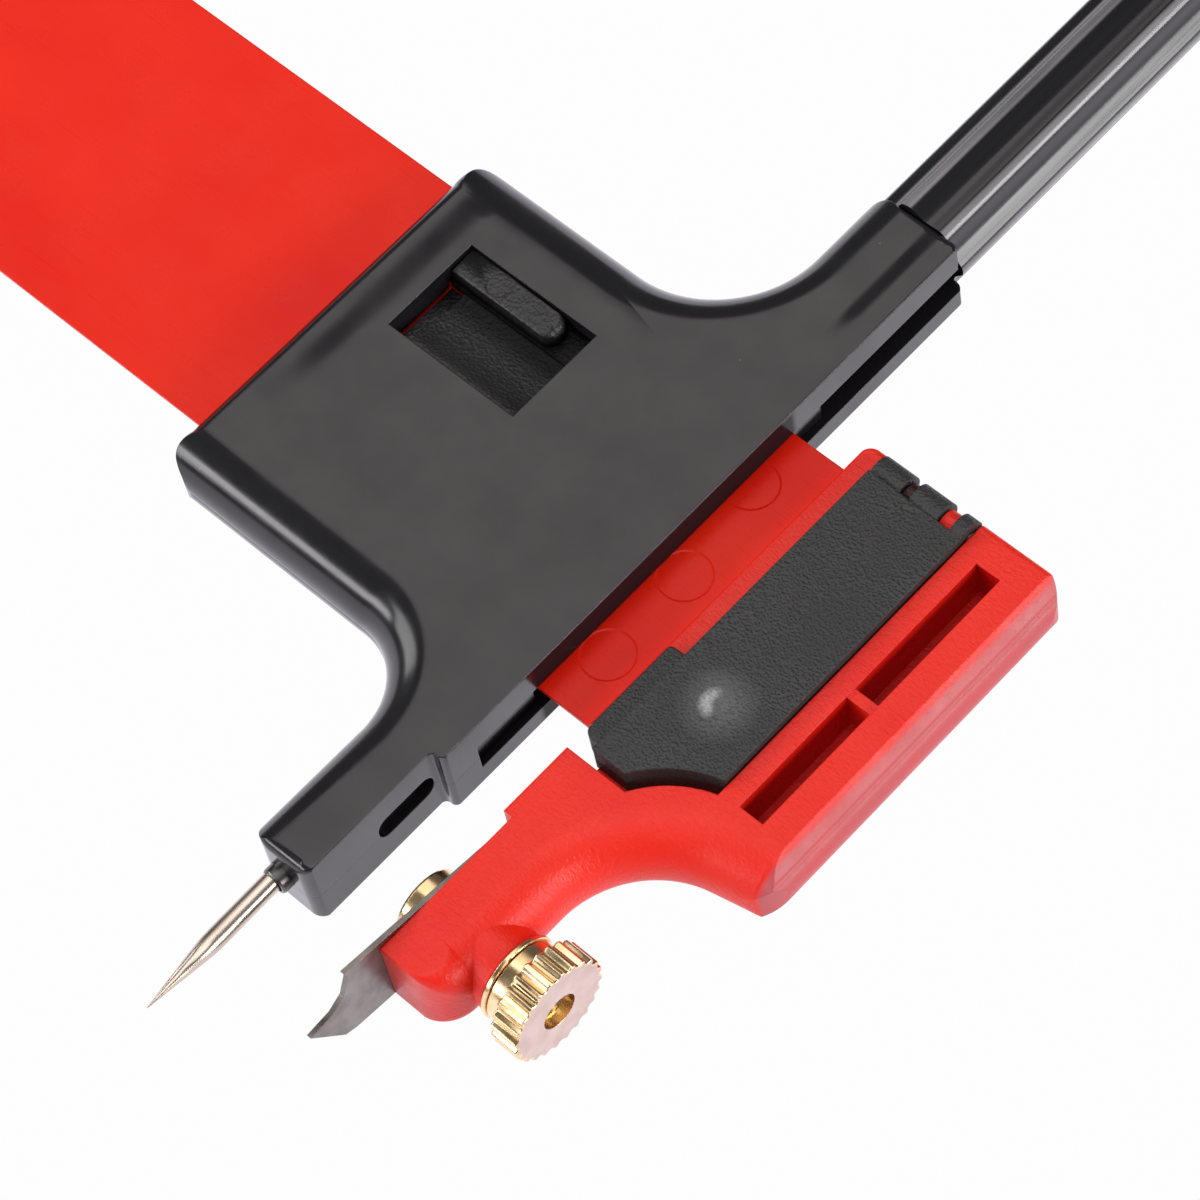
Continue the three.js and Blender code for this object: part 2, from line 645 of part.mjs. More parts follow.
// The pair of open pockets along the right side of the block, split by a rib
const coreEndWall = 1.9;
const coreHeadWall = 0.2;
const corePocketLeft = 21.74;
const corePocketRight = 23.92;
const corePocketBottom = beamHalf - coreEndWall;
const corePocketTop = beamHalf - coreHeadWall;
const corePocketFloor = 1.3;
const coreRib = 0.9;
const coreRibDrop = 0.2;
const corePocket = box(corePocketLeft, corePocketRight, -corePocketBottom, corePocketTop,
  corePocketFloor, tallHigh)
  .subtract(box(corePocketLeft, corePocketRight, -coreRib / 2, coreRib / 2, corePocketFloor,
    blockFront - coreRibDrop));

// Store for spare blades, with its lid hinged at the top end
const lidLeft = 11.2;
const lidRight = 19.85;
const lidTop = 6.41;
const lidFall = 0.4;
const lidBottom = 3.5;
const lidWall = 1;
const lidRoof = 1.4;
const lidFootDrop = 1.6;
const lidFoot = beamHalf + lidFootDrop;
const arcX = 22.5;
const arcDrop = 7;
const arcY = -beamHalf - arcDrop;
const lidArc = 9.85;
const pocketArc = 8.95;
const lidGap = 0.15;
const hingeFromTop = 1.47;
const hingeY = blockTop - hingeFromTop;
const hingeZ = 4.9;
const hingePinRadius = 0.6;
const knuckleRadius = 1.4;
const lidHeadShare = 0.6;
const lidHead = hingeY - knuckleRadius * lidHeadShare;
const arcDisc = (radius, low, high) => turnedDisc(radius, arcX, arcY, low, high);
function turnedDisc(radius, x, y, low, high) {
  const geometry = new THREE.CylinderGeometry(radius, radius, high - low, roundSides * 2);
  geometry.rotateX(Math.PI / 2);
  geometry.translate(x, y, (low + high) / 2);
  return solidFrom(geometry);
}
const lidPocket = box(lidLeft - lidGap, lidRight + lidGap, neckTopY, blockTop + overrun,
  lidBottom - lidGap, tallHigh)
  .subtract(arcDisc(pocketArc, -overrun, tallHigh + overrun));

// The store's length and width leave the spare blades a little play
const bladeHead = 6.9;
const bladeReach = 12.84;
const storePlay = 1.56;
const storeEndWall = 0.8;
const storeLeft = 11.5;
const storeRight = storeLeft + bladeWidth + 2 * looseGap;
const storeTop = beamHalf - storeEndWall;
const storeBottom = bladeHead + bladeReach + looseGap + storePlay - storeTop;
const storeFloor = 0.9;
const bladeStore = box(storeLeft, storeRight, -storeBottom, storeTop, storeFloor, lidBottom);

// Knuckles on the block stand between those of the lid, as shares of the lid's width
const knuckleGapShares = [[0.32, 0.423], [0.731, 0.874]];
const lidWidth = lidRight - lidLeft;
const knuckleGaps = knuckleGapShares.map((pair) => pair.map((share) => lidLeft + lidWidth * share));
const knuckleGap = 0.12;
const knuckle = (left, right) => rodAlongX(knuckleRadius, left, right, hingeY, hingeZ, roundSides / 2);
const blockKnuckles = knuckleGaps.map(([left, right]) => knuckle(left + knuckleGap, right - knuckleGap)
  .add(box(left + knuckleGap, right - knuckleGap, hingeY - knuckleRadius, hingeY + knuckleRadius,
    lidBottom - lidGap - fitGap, hingeZ)));
const hingeHole = rodAlongX(hingePinRadius + fitGap, lidLeft - overrun, lidRight + overrun, hingeY, hingeZ,
  roundSides / 2);

let arm = blockBlank;
blockCuts.forEach((cut) => { arm = arm.subtract(cut); });
arm = arm.add(beam).subtract(clampHole).subtract(corePocket).subtract(lidPocket).subtract(bladeStore);
blockKnuckles.forEach((piece) => { arm = arm.add(piece); });
arm = arm.subtract(hingeHole);
addPiece('ruler_arm', arm, red);

// Lid with its thumb dimple, fingernail ledge and knuckles
const ledgeLeft = 9.6;
const ledgeTop = 5.96;
const ledgeDrop = 0.9;
const ledgeLength = 9;
const ledgeBottomY = -beamHalf - ledgeDrop;
const ledgeTopY = ledgeBottomY + ledgeLength;
const ledgeRise = 0.05;
const dimpleX = 15.3;
const dimpleFromFoot = 8.2;
const dimpleY = dimpleFromFoot - lidFoot;
const dimpleDepth = 0.5;
const dimpleRadius = 6;
const lidPlate = plate([
  [lidLeft, lidBottom, 0], [lidRight, lidBottom, 0], [lidRight, lidTop - lidFall, 0], [lidLeft, lidTop, 0],
], -lidHead, lidFoot).rotate([90, 0, 0])
  .subtract(arcDisc(lidArc, -overrun, tallHigh + 2 * overrun));
const ledge = box(ledgeLeft, lidLeft + overrun, ledgeBottomY, ledgeTopY, blockFront + ledgeRise, ledgeTop)
  .add(box(ledgeLeft, lidLeft + overrun, ledgeBottomY, -beamHalf - lidGap, lidBottom, ledgeTop));
const lidHollow = box(lidLeft + lidWall, lidRight - lidWall, ledgeTopY, lidHead - lidWall * 2,
  lidBottom - overrun, lidTop - lidRoof);
const dimpleGeometry = new THREE.SphereGeometry(dimpleRadius, roundSides, roundSides / 2);
dimpleGeometry.translate(dimpleX, dimpleY, lidTop + dimpleRadius - dimpleDepth);
const knuckleEdges = [lidLeft, ...knuckleGaps.flat(), lidRight];
let lid = lidPlate.add(ledge).subtract(lidHollow).subtract(solidFrom(dimpleGeometry));
for (let index = 0; index < knuckleEdges.length; index += 2) {
  const left = knuckleEdges[index];
  const right = knuckleEdges[index + 1];
  lid = lid.add(knuckle(left, right))
    .add(box(left, right, lidHead - overrun, hingeY, hingeZ - knuckleRadius, hingeZ + knuckleRadius));
}
const swingRoom = knuckleRadius + lidGap;
knuckleGaps.forEach(([left, right]) => {
  lid = lid.subtract(box(left, right, hingeY - swingRoom, hingeY + swingRoom, lidBottom - overrun, tallHigh));
});
addPiece('blade_store_lid', lid.subtract(hingeHole), grainBlack);
addPiece('lid_hinge_pin', rodAlongX(hingePinRadius, lidLeft - lidGap, lidRight + lidGap, hingeY, hingeZ,
  roundSides / 2), steel);

// Blade: flat steel with an open notch for the clamp bolt, a hook and a slanted point.
// It is drawn with X across it, towards the front, and the tip at the lowest Y.
const notchHalf = clampHoleRadius;
const bladeFrontShare = 0.447;
const bladeFront = bladeWidth * bladeFrontShare;
const bladeBack = bladeWidth - bladeFront;
const bladeHeadBack = 3;
const bladeNotchSteps = 8;
const bladePointShares = [
  [1, 0.724], [0.918, 0.699], [0.662, 0.743], [0.532, 0.832], [0.459, 1], [0.03, 0.76], [0, 0.68],
];
function bladePlate() {
  const notch = [];
  for (let step = 0; step <= bladeNotchSteps; step += 1) {
    const angle = -Math.PI * step / bladeNotchSteps;
    notch.push([-notchHalf * Math.cos(angle), notchHalf * Math.sin(angle), 0]);
  }
  const place = ([across, along]) => [across * bladeWidth - bladeBack, -along * bladeReach, 0];
  return plate([
    [-notchHalf, bladeHead, 0],
    [-bladeHeadBack, bladeHead, 0],
    [-bladeBack, 0, 0],
    ...bladePointShares.map(place).reverse(),
    [bladeFront, bladeHead, 0],
    [notchHalf, bladeHead, 0],
    ...notch.reverse(),
  ], 0, bladeThickness);
}
const bladeTiltDegrees = 8.5;
addPiece('blade', bladePlate().rotate([0, -90, 0]).rotate([-bladeTiltDegrees, 0, 0])
  .translate([seatX - fitGap, clampY, clampHeight]), steel);

const spareGap = 0.08;
const spareX = (storeLeft + storeRight + bladeBack - bladeFront) / 2;
const spareY = storeTop - bladeHead - looseGap;
for (let index = 0; index < spareBlades; index += 1) {
  const low = storeFloor + fitGap + index * (bladeThickness + spareGap);
  addPiece(`spare_blade_${index + 1}`, bladePlate().translate([spareX, spareY, low]), steel);
}

// Clamp: brass bolt from the needle side, washer and knurled nut on the boss
const boltHeadRadius = 2.9;
const boltHeadThickness = 0.56;
const boltHeadEdge = 0.3;
const clampWasherThickness = 0.4;
const clampWasherRadius = 3.45;
const clampBore = clampRadius + runGap;
const clampWasherX = bossEnd + fitGap;
const collarX = clampWasherX + clampWasherThickness + fitGap;
const nutFace = collarX + nutWidth;
const boltSetback = 0.9;
const boltEnd = nutFace - boltSetback;
const headX = seatX - bladeThickness - 2 * fitGap;
addPiece('clamp_bolt', turnedAlongX([
  [0, headX - boltHeadThickness], [boltHeadRadius - boltHeadEdge, headX - boltHeadThickness],
  [boltHeadRadius, headX - boltHeadThickness / 2], [boltHeadRadius, headX],
  [clampRadius, headX], [clampRadius, boltEnd], [0, boltEnd],
], clampY, clampHeight), brass);

const ringAlongX = (inner, outer, x0, x1) => turnedAlongX([
  [inner, x0], [outer, x0], [outer, x1], [inner, x1], [inner, x0],
], clampY, clampHeight);
addPiece('clamp_washer', ringAlongX(clampBore, clampWasherRadius, clampWasherX,
  clampWasherX + clampWasherThickness), steel);

const knurlWidth = 2.5;
const knurlTeeth = 24;
const knurlDepth = 0.3;
const nutCollarRadius = 3.3;
const knurlShape = new THREE.Shape();
for (let index = 0; index < knurlTeeth * 2; index += 1) {
  const radius = nutRadius - knurlDepth * (index % 2);
  const angle = Math.PI * index / knurlTeeth;
  if (index === 0) knurlShape.moveTo(radius, 0);
  else knurlShape.lineTo(radius * Math.cos(angle), radius * Math.sin(angle));
}
knurlShape.closePath();
const knurlGeometry = new THREE.ExtrudeGeometry(knurlShape, { depth: knurlWidth, bevelEnabled: false });
knurlGeometry.rotateY(Math.PI / 2);
knurlGeometry.translate(nutFace - knurlWidth, clampY, clampHeight);
const nut = solidFrom(knurlGeometry)
  .add(rodAlongX(nutCollarRadius, collarX, nutFace - knurlWidth / 2, clampY, clampHeight))
  .subtract(rodAlongX(clampBore, collarX - overrun, nutFace + overrun, clampY, clampHeight));
addPiece('clamp_nut', nut, brass);

export default group;
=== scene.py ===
import bpy
import math
from mathutils import Matrix, Vector


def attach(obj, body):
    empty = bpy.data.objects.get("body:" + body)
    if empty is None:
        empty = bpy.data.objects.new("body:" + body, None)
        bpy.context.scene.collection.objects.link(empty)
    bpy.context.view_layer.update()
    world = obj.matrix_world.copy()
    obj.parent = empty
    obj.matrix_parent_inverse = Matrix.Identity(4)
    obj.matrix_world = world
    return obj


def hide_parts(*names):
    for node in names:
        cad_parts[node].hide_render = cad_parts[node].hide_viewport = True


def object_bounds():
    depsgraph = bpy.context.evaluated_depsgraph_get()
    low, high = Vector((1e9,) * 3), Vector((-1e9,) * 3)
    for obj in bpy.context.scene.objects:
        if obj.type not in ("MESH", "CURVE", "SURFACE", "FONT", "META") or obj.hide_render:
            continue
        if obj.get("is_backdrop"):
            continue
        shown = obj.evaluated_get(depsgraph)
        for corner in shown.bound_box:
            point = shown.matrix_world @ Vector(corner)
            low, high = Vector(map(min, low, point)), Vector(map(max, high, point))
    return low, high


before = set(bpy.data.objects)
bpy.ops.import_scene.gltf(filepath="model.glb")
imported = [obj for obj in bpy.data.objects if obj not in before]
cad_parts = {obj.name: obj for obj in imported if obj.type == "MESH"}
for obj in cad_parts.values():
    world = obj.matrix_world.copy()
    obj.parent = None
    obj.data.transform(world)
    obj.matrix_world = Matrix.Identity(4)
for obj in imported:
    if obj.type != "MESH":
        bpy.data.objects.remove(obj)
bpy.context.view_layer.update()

# Body shells: the flat black body is two glossy styrene mouldings that meet at the
# middle of the ruler arm. Their left edges are fully rounded, the right ones crisp.
MM = 0.001


# A corner is x, y and its radius, then how far the plate's edge is rounded inwards and
# downwards before the corner and after it.
def outline(corners, per_radian=16):
    points = []
    for index, (x, y, radius, *edges) in enumerate(corners):
        before = edges[0] if edges else (0, 0)
        after = edges[1] if len(edges) > 1 else before
        if not radius:
            points.append((x, y, *after))
            continue
        corner = Vector((x, y))
        back = (Vector(corners[index - 1][:2]) - corner).normalized()
        ahead = (Vector(corners[(index + 1) % len(corners)][:2]) - corner).normalized()
        half = back.angle(ahead) / 2
        centre = corner + (back + ahead).normalized() * (radius / math.sin(half))
        first = corner + back * (radius / math.tan(half)) - centre
        last = corner + ahead * (radius / math.tan(half)) - centre
        turn = math.atan2(first.x * last.y - first.y * last.x, first.dot(last))
        steps = max(4, round(abs(turn) * per_radian))
        for step in range(steps + 1):
            share = step / steps
            place = centre + Matrix.Rotation(turn * share, 2) @ first
            reach, drop = (b + (a - b) * share for b, a in zip(before, after))
            points.append((place.x, place.y, reach, drop))
    return points


def solid(name, points, faces):
    mesh = bpy.data.meshes.new(name)
    mesh.from_pydata([Vector(p) * MM for p in points], [], faces)
    mesh.validate()
    piece = bpy.data.objects.new(name, mesh)
    bpy.context.scene.collection.objects.link(piece)
    return piece


def soft_plate(name, corners, low, high, edge_steps=12, turn=None):
    points = outline(corners)
    count = len(points)
    inward = []
    for index, (x, y, _, _) in enumerate(points):
        x0, y0 = points[index - 1][:2]
        x1, y1 = points[(index + 1) % count][:2]
        one = Vector((y0 - y, x - x0)).normalized()
        two = Vector((y - y1, x1 - x)).normalized()
        middle = (one + two).normalized()
        inward.append(middle / middle.dot(one))
    rounded = any(point[3] for point in points)
    steps = edge_steps if rounded else 0
    rings = []
    for step in range(steps, -1, -1):
        angle = math.pi / 2 * step / steps if rounded else 0
        rings.append([
            (x + way.x * reach * (1 - math.cos(angle)), y + way.y * reach * (1 - math.cos(angle)),
             low + drop * (1 - math.sin(angle)))
            for (x, y, reach, drop), way in zip(points, inward)
        ])
    rings += [[(x, y, low + high - z) for x, y, z in ring] for ring in reversed(rings)]
    faces = [tuple(reversed(range(count)))]
    for ring in range(len(rings) - 1):
        for index in range(count):
            a, b = ring * count + index, ring * count + (index + 1) % count
            faces.append((a, b, b + count, a + count))
    top = (len(rings) - 1) * count
    faces.append(tuple(range(top, top + count)))
    piece = solid(name, [point for ring in rings for point in ring], faces)
    if turn:
        piece.data.transform(turn)
    return piece


def block(name, x0, x1, y0, y1, z0, z1):
    return soft_plate(name, [(x0, y0, 0), (x1, y0, 0), (x1, y1, 0), (x0, y1, 0)], z0, z1)


axis_height = 3.66


def turned(name, profile, along="Y", centre=(0, axis_height), sides=96):
    closed = profile[0] == profile[-1]
    profile = profile[:-1] if closed else profile
    points, rings, faces = [], [], []
    for radius, place in profile:
        rings.append((len(points), radius))
        for side in range(sides if radius else 1):
            angle = 2 * math.pi * side / sides
            u, v = centre[0] + radius * math.cos(angle), centre[1] + radius * math.sin(angle)
            points.append((u, place, v) if along == "Y" else (place, u, v))
    pairs = list(zip(rings, rings[1:])) + ([(rings[-1], rings[0])] if closed else [])
    for (one, wide_one), (two, wide_two) in pairs:
        for side in range(sides):
            after = (side + 1) % sides
            if wide_one and wide_two:
                faces.append((one + side, one + after, two + after, two + side))
            elif wide_one:
                faces.append((one + side, one + after, two))
            elif wide_two:
                faces.append((one, two + after, two + side))
    if along == "X":
        faces = [tuple(reversed(face)) for face in faces]
    return solid(name, points, faces)


def rod(name, radius, low, high, *way):
    return turned(name, [(0, low), (radius, low), (radius, high), (0, high)], *way)


def face_out(piece):
    shape = piece.data
    volume = sum(f.normal.dot(f.center) * f.area for f in shape.polygons)
    if volume < 0:
        shape.flip_normals()
    return piece


def carve(piece, tool, kind="DIFFERENCE"):
    face_out(tool)
    face_out(piece)
    step = piece.modifiers.new("cut", "BOOLEAN")
    step.object, step.operation, step.solver = tool, kind, "EXACT"
    shaped = piece.evaluated_get(bpy.context.evaluated_depsgraph_get())
    mesh = bpy.data.meshes.new_from_object(shaped)
    piece.modifiers.clear()
    piece.data = mesh
    bpy.data.objects.remove(tool)
    return piece


def dress(piece, look, body, slot, *nodes, angle=28):
    piece.data.materials.clear()
    piece.data.materials.append(look)
    for face in piece.data.polygons:
        face.use_smooth = True
        face.material_index = 0
    piece.data.set_sharp_from_angle(angle=math.radians(angle))
    even = piece.modifiers.new("even shading", "WEIGHTED_NORMAL")
    even.keep_sharp = True
    even.weight = 80
    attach(piece, body)
    if nodes:
        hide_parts(*nodes)
    return piece


class Look:
    def __init__(self, name, colour, rough, metal=0.0, edge=0.12):
        self.material = bpy.data.materials.new(name)
        self.material.use_nodes = True
        self.tree = self.material.node_tree
        self.shader = self.tree.nodes["Principled BSDF"]
        self.shader.inputs["Base Color"].default_value = (*colour, 1)
        self.shader.inputs["Roughness"].default_value = rough
        self.shader.inputs["Metallic"].default_value = metal
        self.place = self.add("ShaderNodeTexCoord").outputs["Object"]
        self.normal = self.add("ShaderNodeBevel", Radius=edge * MM).outputs[0]
        self.tree.links.new(self.normal, self.shader.inputs["Normal"])

    def add(self, kind, **values):
        node = self.tree.nodes.new(kind)
        for key, value in values.items():
            self.set(node.inputs[key.replace("_", " ")], value)
        return node

    def set(self, socket, value):
        if isinstance(value, bpy.types.NodeSocket):
            self.tree.links.new(value, socket)
        else:
            socket.default_value = value

    def stretched(self, ways, turn=0.0):
        node = self.add("ShaderNodeMapping", Vector=self.place, Scale=ways, Rotation=(0, 0, turn))
        return node.outputs[0]

    def noise(self, size, detail=2.0, ways=None, turn=0.0, rough=0.5, twist=0.0):
        place = self.stretched(ways, turn) if ways else self.place
        return self.add("ShaderNodeTexNoise", Vector=place, Scale=1 / (size * MM), Detail=detail,
                        Roughness=rough, Distortion=twist).outputs["Fac"]

    def cells(self, size, ways=None, feature="F1"):
        node = self.add("ShaderNodeTexVoronoi", Vector=self.stretched(ways) if ways else self.place,
                        Scale=1 / (size * MM))
        node.feature = feature
        return node.outputs["Distance"]

    def spread(self, value, low, high, to_low=0.0, to_high=1.0):
        return self.add("ShaderNodeMapRange", Value=value, From_Min=low, From_Max=high,
                        To_Min=to_low, To_Max=to_high).outputs[0]

    def eased(self, value, low, high):
        node = self.add("ShaderNodeMapRange", Value=value, From_Min=low * MM, From_Max=high * MM)
        node.interpolation_type = "SMOOTHSTEP"
        return node.outputs[0]

    def sum(self, kind, one, two=0.0, three=0.0):
        node = self.add("ShaderNodeMath")
        node.operation = kind
        for socket, value in zip(node.inputs, (one, two, three)):
            self.set(socket, value)
        return node.outputs[0]

    def axes(self):
        return self.add("ShaderNodeSeparateXYZ", Vector=self.place).outputs

    def tint(self, factor, one, two):
        node = self.add("ShaderNodeMix")
        node.data_type = "RGBA"
        self.set(node.inputs[0], factor)
        for socket, value in ((node.inputs[6], one), (node.inputs[7], two)):
            self.set(socket, (*value, 1) if isinstance(value, tuple) else value)
        return node.outputs[2]

    def bump(self, height, depth, strength=1.0):
        self.normal = self.add("ShaderNodeBump", Height=height, Distance=depth * MM,
                               Strength=strength, Normal=self.normal).outputs[0]
        self.tree.links.new(self.normal, self.shader.inputs["Normal"])

    def paint(self, **values):
        for key, value in values.items():
            self.set(self.shader.inputs[key.replace("_", " ")], value)

    def roughen(self, low, high, *size, **grain):
        self.paint(Roughness=self.spread(self.noise(*size, **grain), 0.3, 0.7, low, high))

    def within(self, *parts):
        mask = parts[0]
        for part in parts[1:]:
            mask = self.sum("MULTIPLY", mask, part)
        return mask

    def size_of(self, value):
        return self.sum("ABSOLUTE", value)


gloss_black = (0.010, 0.0095, 0.011)
gloss = Look("black_gloss", gloss_black, 0.16)
gx, gy, gz = gloss.axes()
gloss.bump(gloss.noise(16, 1), 0.13)
# The wide faces sink a little away from their edges, as thick mouldings do.
sink_top = gloss.sum("MAXIMUM", gloss.eased(gy, 14.8, 11.6), gloss.eased(gx, -18, -5))
sink = gloss.within(gloss.eased(gx, -28.2, -24.6), sink_top)
faded = gloss.within(gloss.sum("SUBTRACT", 1, sink), gloss.eased(gy, -14, -2))
gloss.bump(gloss.sum("SUBTRACT", 1, faded), 0.34)
gloss.bump(gloss.within(gloss.eased(gx, 1.0, 2.9), gloss.eased(gy, 18, 23)), 0.26)
gloss.bump(gloss.noise(1.1, 2), 0.0012)
gloss.bump(gloss.noise(0.35, 1, ways=(1, 14, 1), turn=0.7), 0.0006)
smear = gloss.noise(7, 5, rough=0.65)
gloss.paint(Roughness=gloss.spread(smear, 0.35, 0.7, 0.14, 0.25))
dust = gloss.spread(gloss.cells(2.6), 0.016, 0.028, 1, 0)
gloss.paint(Base_Color=gloss.tint(dust, gloss_black, (0.12, 0.11, 0.10)))
# Painted shade: on the body's right wall beside the ruler arm the reflection is turned down, so the wall
# reads black there.
painted_shade_beside_arm = gloss.within(
    gloss.eased(gx, 3.9, 4.12), gloss.eased(gloss.size_of(gy), 14.1, 13.4), gloss.eased(gz, 7.28, 7.0),
)
shine = gloss.spread(gloss.noise(6, 5, rough=0.6), 0.3, 0.7, 0.44, 0.56)
gloss.paint(Specular_IOR_Level=gloss.within(shine, gloss.spread(painted_shade_beside_arm, 0, 1, 1, 0.12)))

body_left, body_right, body_top, body_low = -30.05, 4.17, 16.47, -17.7
handle_arm_top, needle_arm_low, narrow_right = 32, -35.35, 3.1
body_thick, seam = 7.32, 3.285
channel_half, channel, guide_low = 13.62, (1.84, 4.73), -19.8
window_left, window_right, window_near, window_far = -24.13, -11.37, 0.67, 9.57


def body_half(name, rim, handle_end, needle_end, needle_side):
    crisp, left = (0.12, 0.12), (1.9, 3.55)
    half = soft_plate(name, [
        (body_right, 36, 0, crisp), (-4.6, 36, 0, rim), (-4.6, body_top, 9, rim), (-34, body_top, 0, rim),
        (-34, body_low, 0, rim), (-3.4, body_low, 6.5, rim), (-2.9, -39.35, 0, needle_side),
        (narrow_right, -39.35, 0, crisp), (narrow_right, -22.8, 0.45, crisp), (body_right, -22.8, 0.5, crisp),
    ], 0, body_thick, edge_steps=16)
    for size, corners in (
        ((-35, -15, -19, 18), [
            (body_left, body_top, 3.6, crisp, left), (body_left, body_low, 2.8, left, crisp),
            (0, body_low, 0, crisp), (0, body_top, 0, crisp),
        ]),
        ((-5.2, 4.77, 26, 37), [
            (4.27, handle_arm_top, 0.9, crisp, handle_end), (-4.62, handle_arm_top, 1.9, handle_end, crisp),
            (-4.7, body_top, 0, crisp), (4.27, body_top, 0, crisp),
        ]),
        ((-3.9, 3.2, -41, -33.05), [
            (-3.03, needle_arm_low, 2.3, crisp, needle_end), (3.2, needle_arm_low, 1.1, needle_end, crisp),
            (3.2, body_low, 0, crisp), (-3.03, body_low, 0, crisp),
        ]),
    ):
        past = block("past the end", *size, -1, 9)
        carve(past, soft_plate("rounded end", corners, 0, body_thick, edge_steps=16))
        carve(half, past)
    carve(half, block("channel", -35, 5.2, -channel_half, channel_half, *channel))
    carve(half, block("side slot", 2.6, 5.2, guide_low, 33, *channel))
    carve(half, block("guide space", -2.33, body_right, guide_low, 16.92, *channel))
    for bore in (
        ("spindle bore", 1.27, 19.7, 33), ("flange space", 2.12, 21.48, 23.12),
        ("holder space", 1.77, -34.87, -24.23), ("collar space", 1.12, -36.3, -34.85),
    ):
        carve(half, rod(*bore))
    recess = [(-1.1, -2.75, 0.99), (1.1, -2.75, 0.99), (1.1, 2.75, 0.99), (-1.1, 2.75, 0.99)]
    place = Matrix.Translation((0, -26.05 * MM, axis_height * MM)) @ Matrix.Rotation(math.pi / 2, 4, "Y")
    return carve(half, soft_plate("side recess", recess, 0, 4.1, turn=place))


body = body_half("body_front", (3.8, 3.6), (0.7, 0.5), (0.9, 0.9), (2.6, 2.6))
body_back = body_half("body_back", (3, 3), (0.4, 0.4), (0.4, 0.4), (1.5, 1.5))
carve(body, block("above", -60, 60, -60, 60, seam, 9), "INTERSECT")
carve(body, block("window", window_left, window_right, window_near, window_far, 3, 9))
carve(body, block("lock pocket", window_left, -9.6, -0.6, 10.6, 3, 6))
carve(body, block("leaf slot", -27.7, window_right, 6.8, 10.6, 3, 6))
carve(body, block("heel space", -24.85, -24, window_near, 6.9, 4.7, 5.07))
carve(body_back, block("below", -60, 60, -60, 60, -2, seam), "INTERSECT")
carve(body_back, block("stop groove", -35, -21.63, -6.12, 6.12, 1.24, seam))
dress(body, gloss.material, "body", "black_gloss", "body_front_shell")
dress(body_back, gloss.material, "body", "black_gloss", "body_back_shell")

# Guide shoes: two black plastic blocks inside the body that line the edges of the
# ruler arm. Only their rounded ends show, in the slots along the body's right side.
def keep(node, look, soft=0.0):
    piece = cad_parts[node]
    piece.material_slots[0].link = "OBJECT"
    piece.material_slots[0].material = look
    if soft:
        round_over = piece.modifiers.new("worn edge", "BEVEL")
        round_over.width = soft * MM
        round_over.segments = 3
        round_over.limit_method = "ANGLE"
        round_over.angle_limit = math.radians(35)
        piece.modifiers.new("even shading", "WEIGHTED_NORMAL").keep_sharp = True
    return piece


keep("upper_guide_shoe", gloss.material, 0.5)
keep("lower_guide_shoe", gloss.material, 0.5)

# Lock: a matt black thumb slider in the window with a hollow, coarsely grained pad,
# a rubber brake pad under it, and the fixed raised leaf with a round ejector mark.
matt = Look("black_grain", (0.014, 0.014, 0.015), 0.42, edge=0.2)
matt.bump(matt.noise(0.9, 1), 0.012)
matt.bump(matt.cells(0.26, feature="SMOOTH_F1"), 0.06)
matt.bump(matt.noise(0.16, 2), 0.010)
matt.roughen(0.36, 0.5, 5, 3)
worn = matt.spread(matt.noise(3.1, 5, rough=0.7), 0.56, 0.8)
_, my, mz = matt.axes()
# Painted shade: towards the leaf the pad is painted near-black and reflects less, for the shade under the
# leaf's wall.
painted_shade_by_leaf = matt.within(matt.eased(my, 3.2, 6.2), matt.eased(mz, 6.3, 5.6))
tone = matt.tint(worn, (0.011, 0.011, 0.012), (0.030, 0.029, 0.029))
matt.paint(Base_Color=matt.tint(painted_shade_by_leaf, tone, (0.003, 0.003, 0.003)))
matt.paint(Specular_IOR_Level=matt.spread(painted_shade_by_leaf, 0, 1, 0.55, 0.12))

lock_floor, shoulder, pad_far, pad_near = 4.81, 5.98, 6.8, 1.17
far_edge, hollow_pull, near_edge = 5.65, 5.35, 6.75
hollow = []
for step in range(13):
    share = step / 12
    y = pad_far + (pad_near - pad_far) * share
    height = (1 - share) ** 2 * far_edge + 2 * share * (1 - share) * hollow_pull + share ** 2 * near_edge
    hollow.append((y, height, 0))
section = [(-0.3, lock_floor, 0), (pad_far, lock_floor, 0), *hollow,
           (0.87, near_edge, 0), (0.87, shoulder, 0), (-0.3, shoulder, 0)]
along_arm = Matrix(((0, 0, 1, 0), (1, 0, 0, 0), (0, 1, 0, 0), (0, 0, 0, 1)))
thumb = soft_plate("lock_slider_pad", section, -22.5, -11.67, turn=along_arm)
carve(thumb, block("toe", -13.07, -9.9, 0.3, pad_far, 4.811, 5.35), "UNION")
carve(thumb, block("heel foot", -23.95, -22.4, 0.87, pad_far, 4.811, 5.02), "UNION")
carve(thumb, block("pad space", -21.12, -13.05, 1.38, 5.42, 4.6, 5.28))
dress(thumb, matt.material, "lock", "black_grain", "lock_slider")

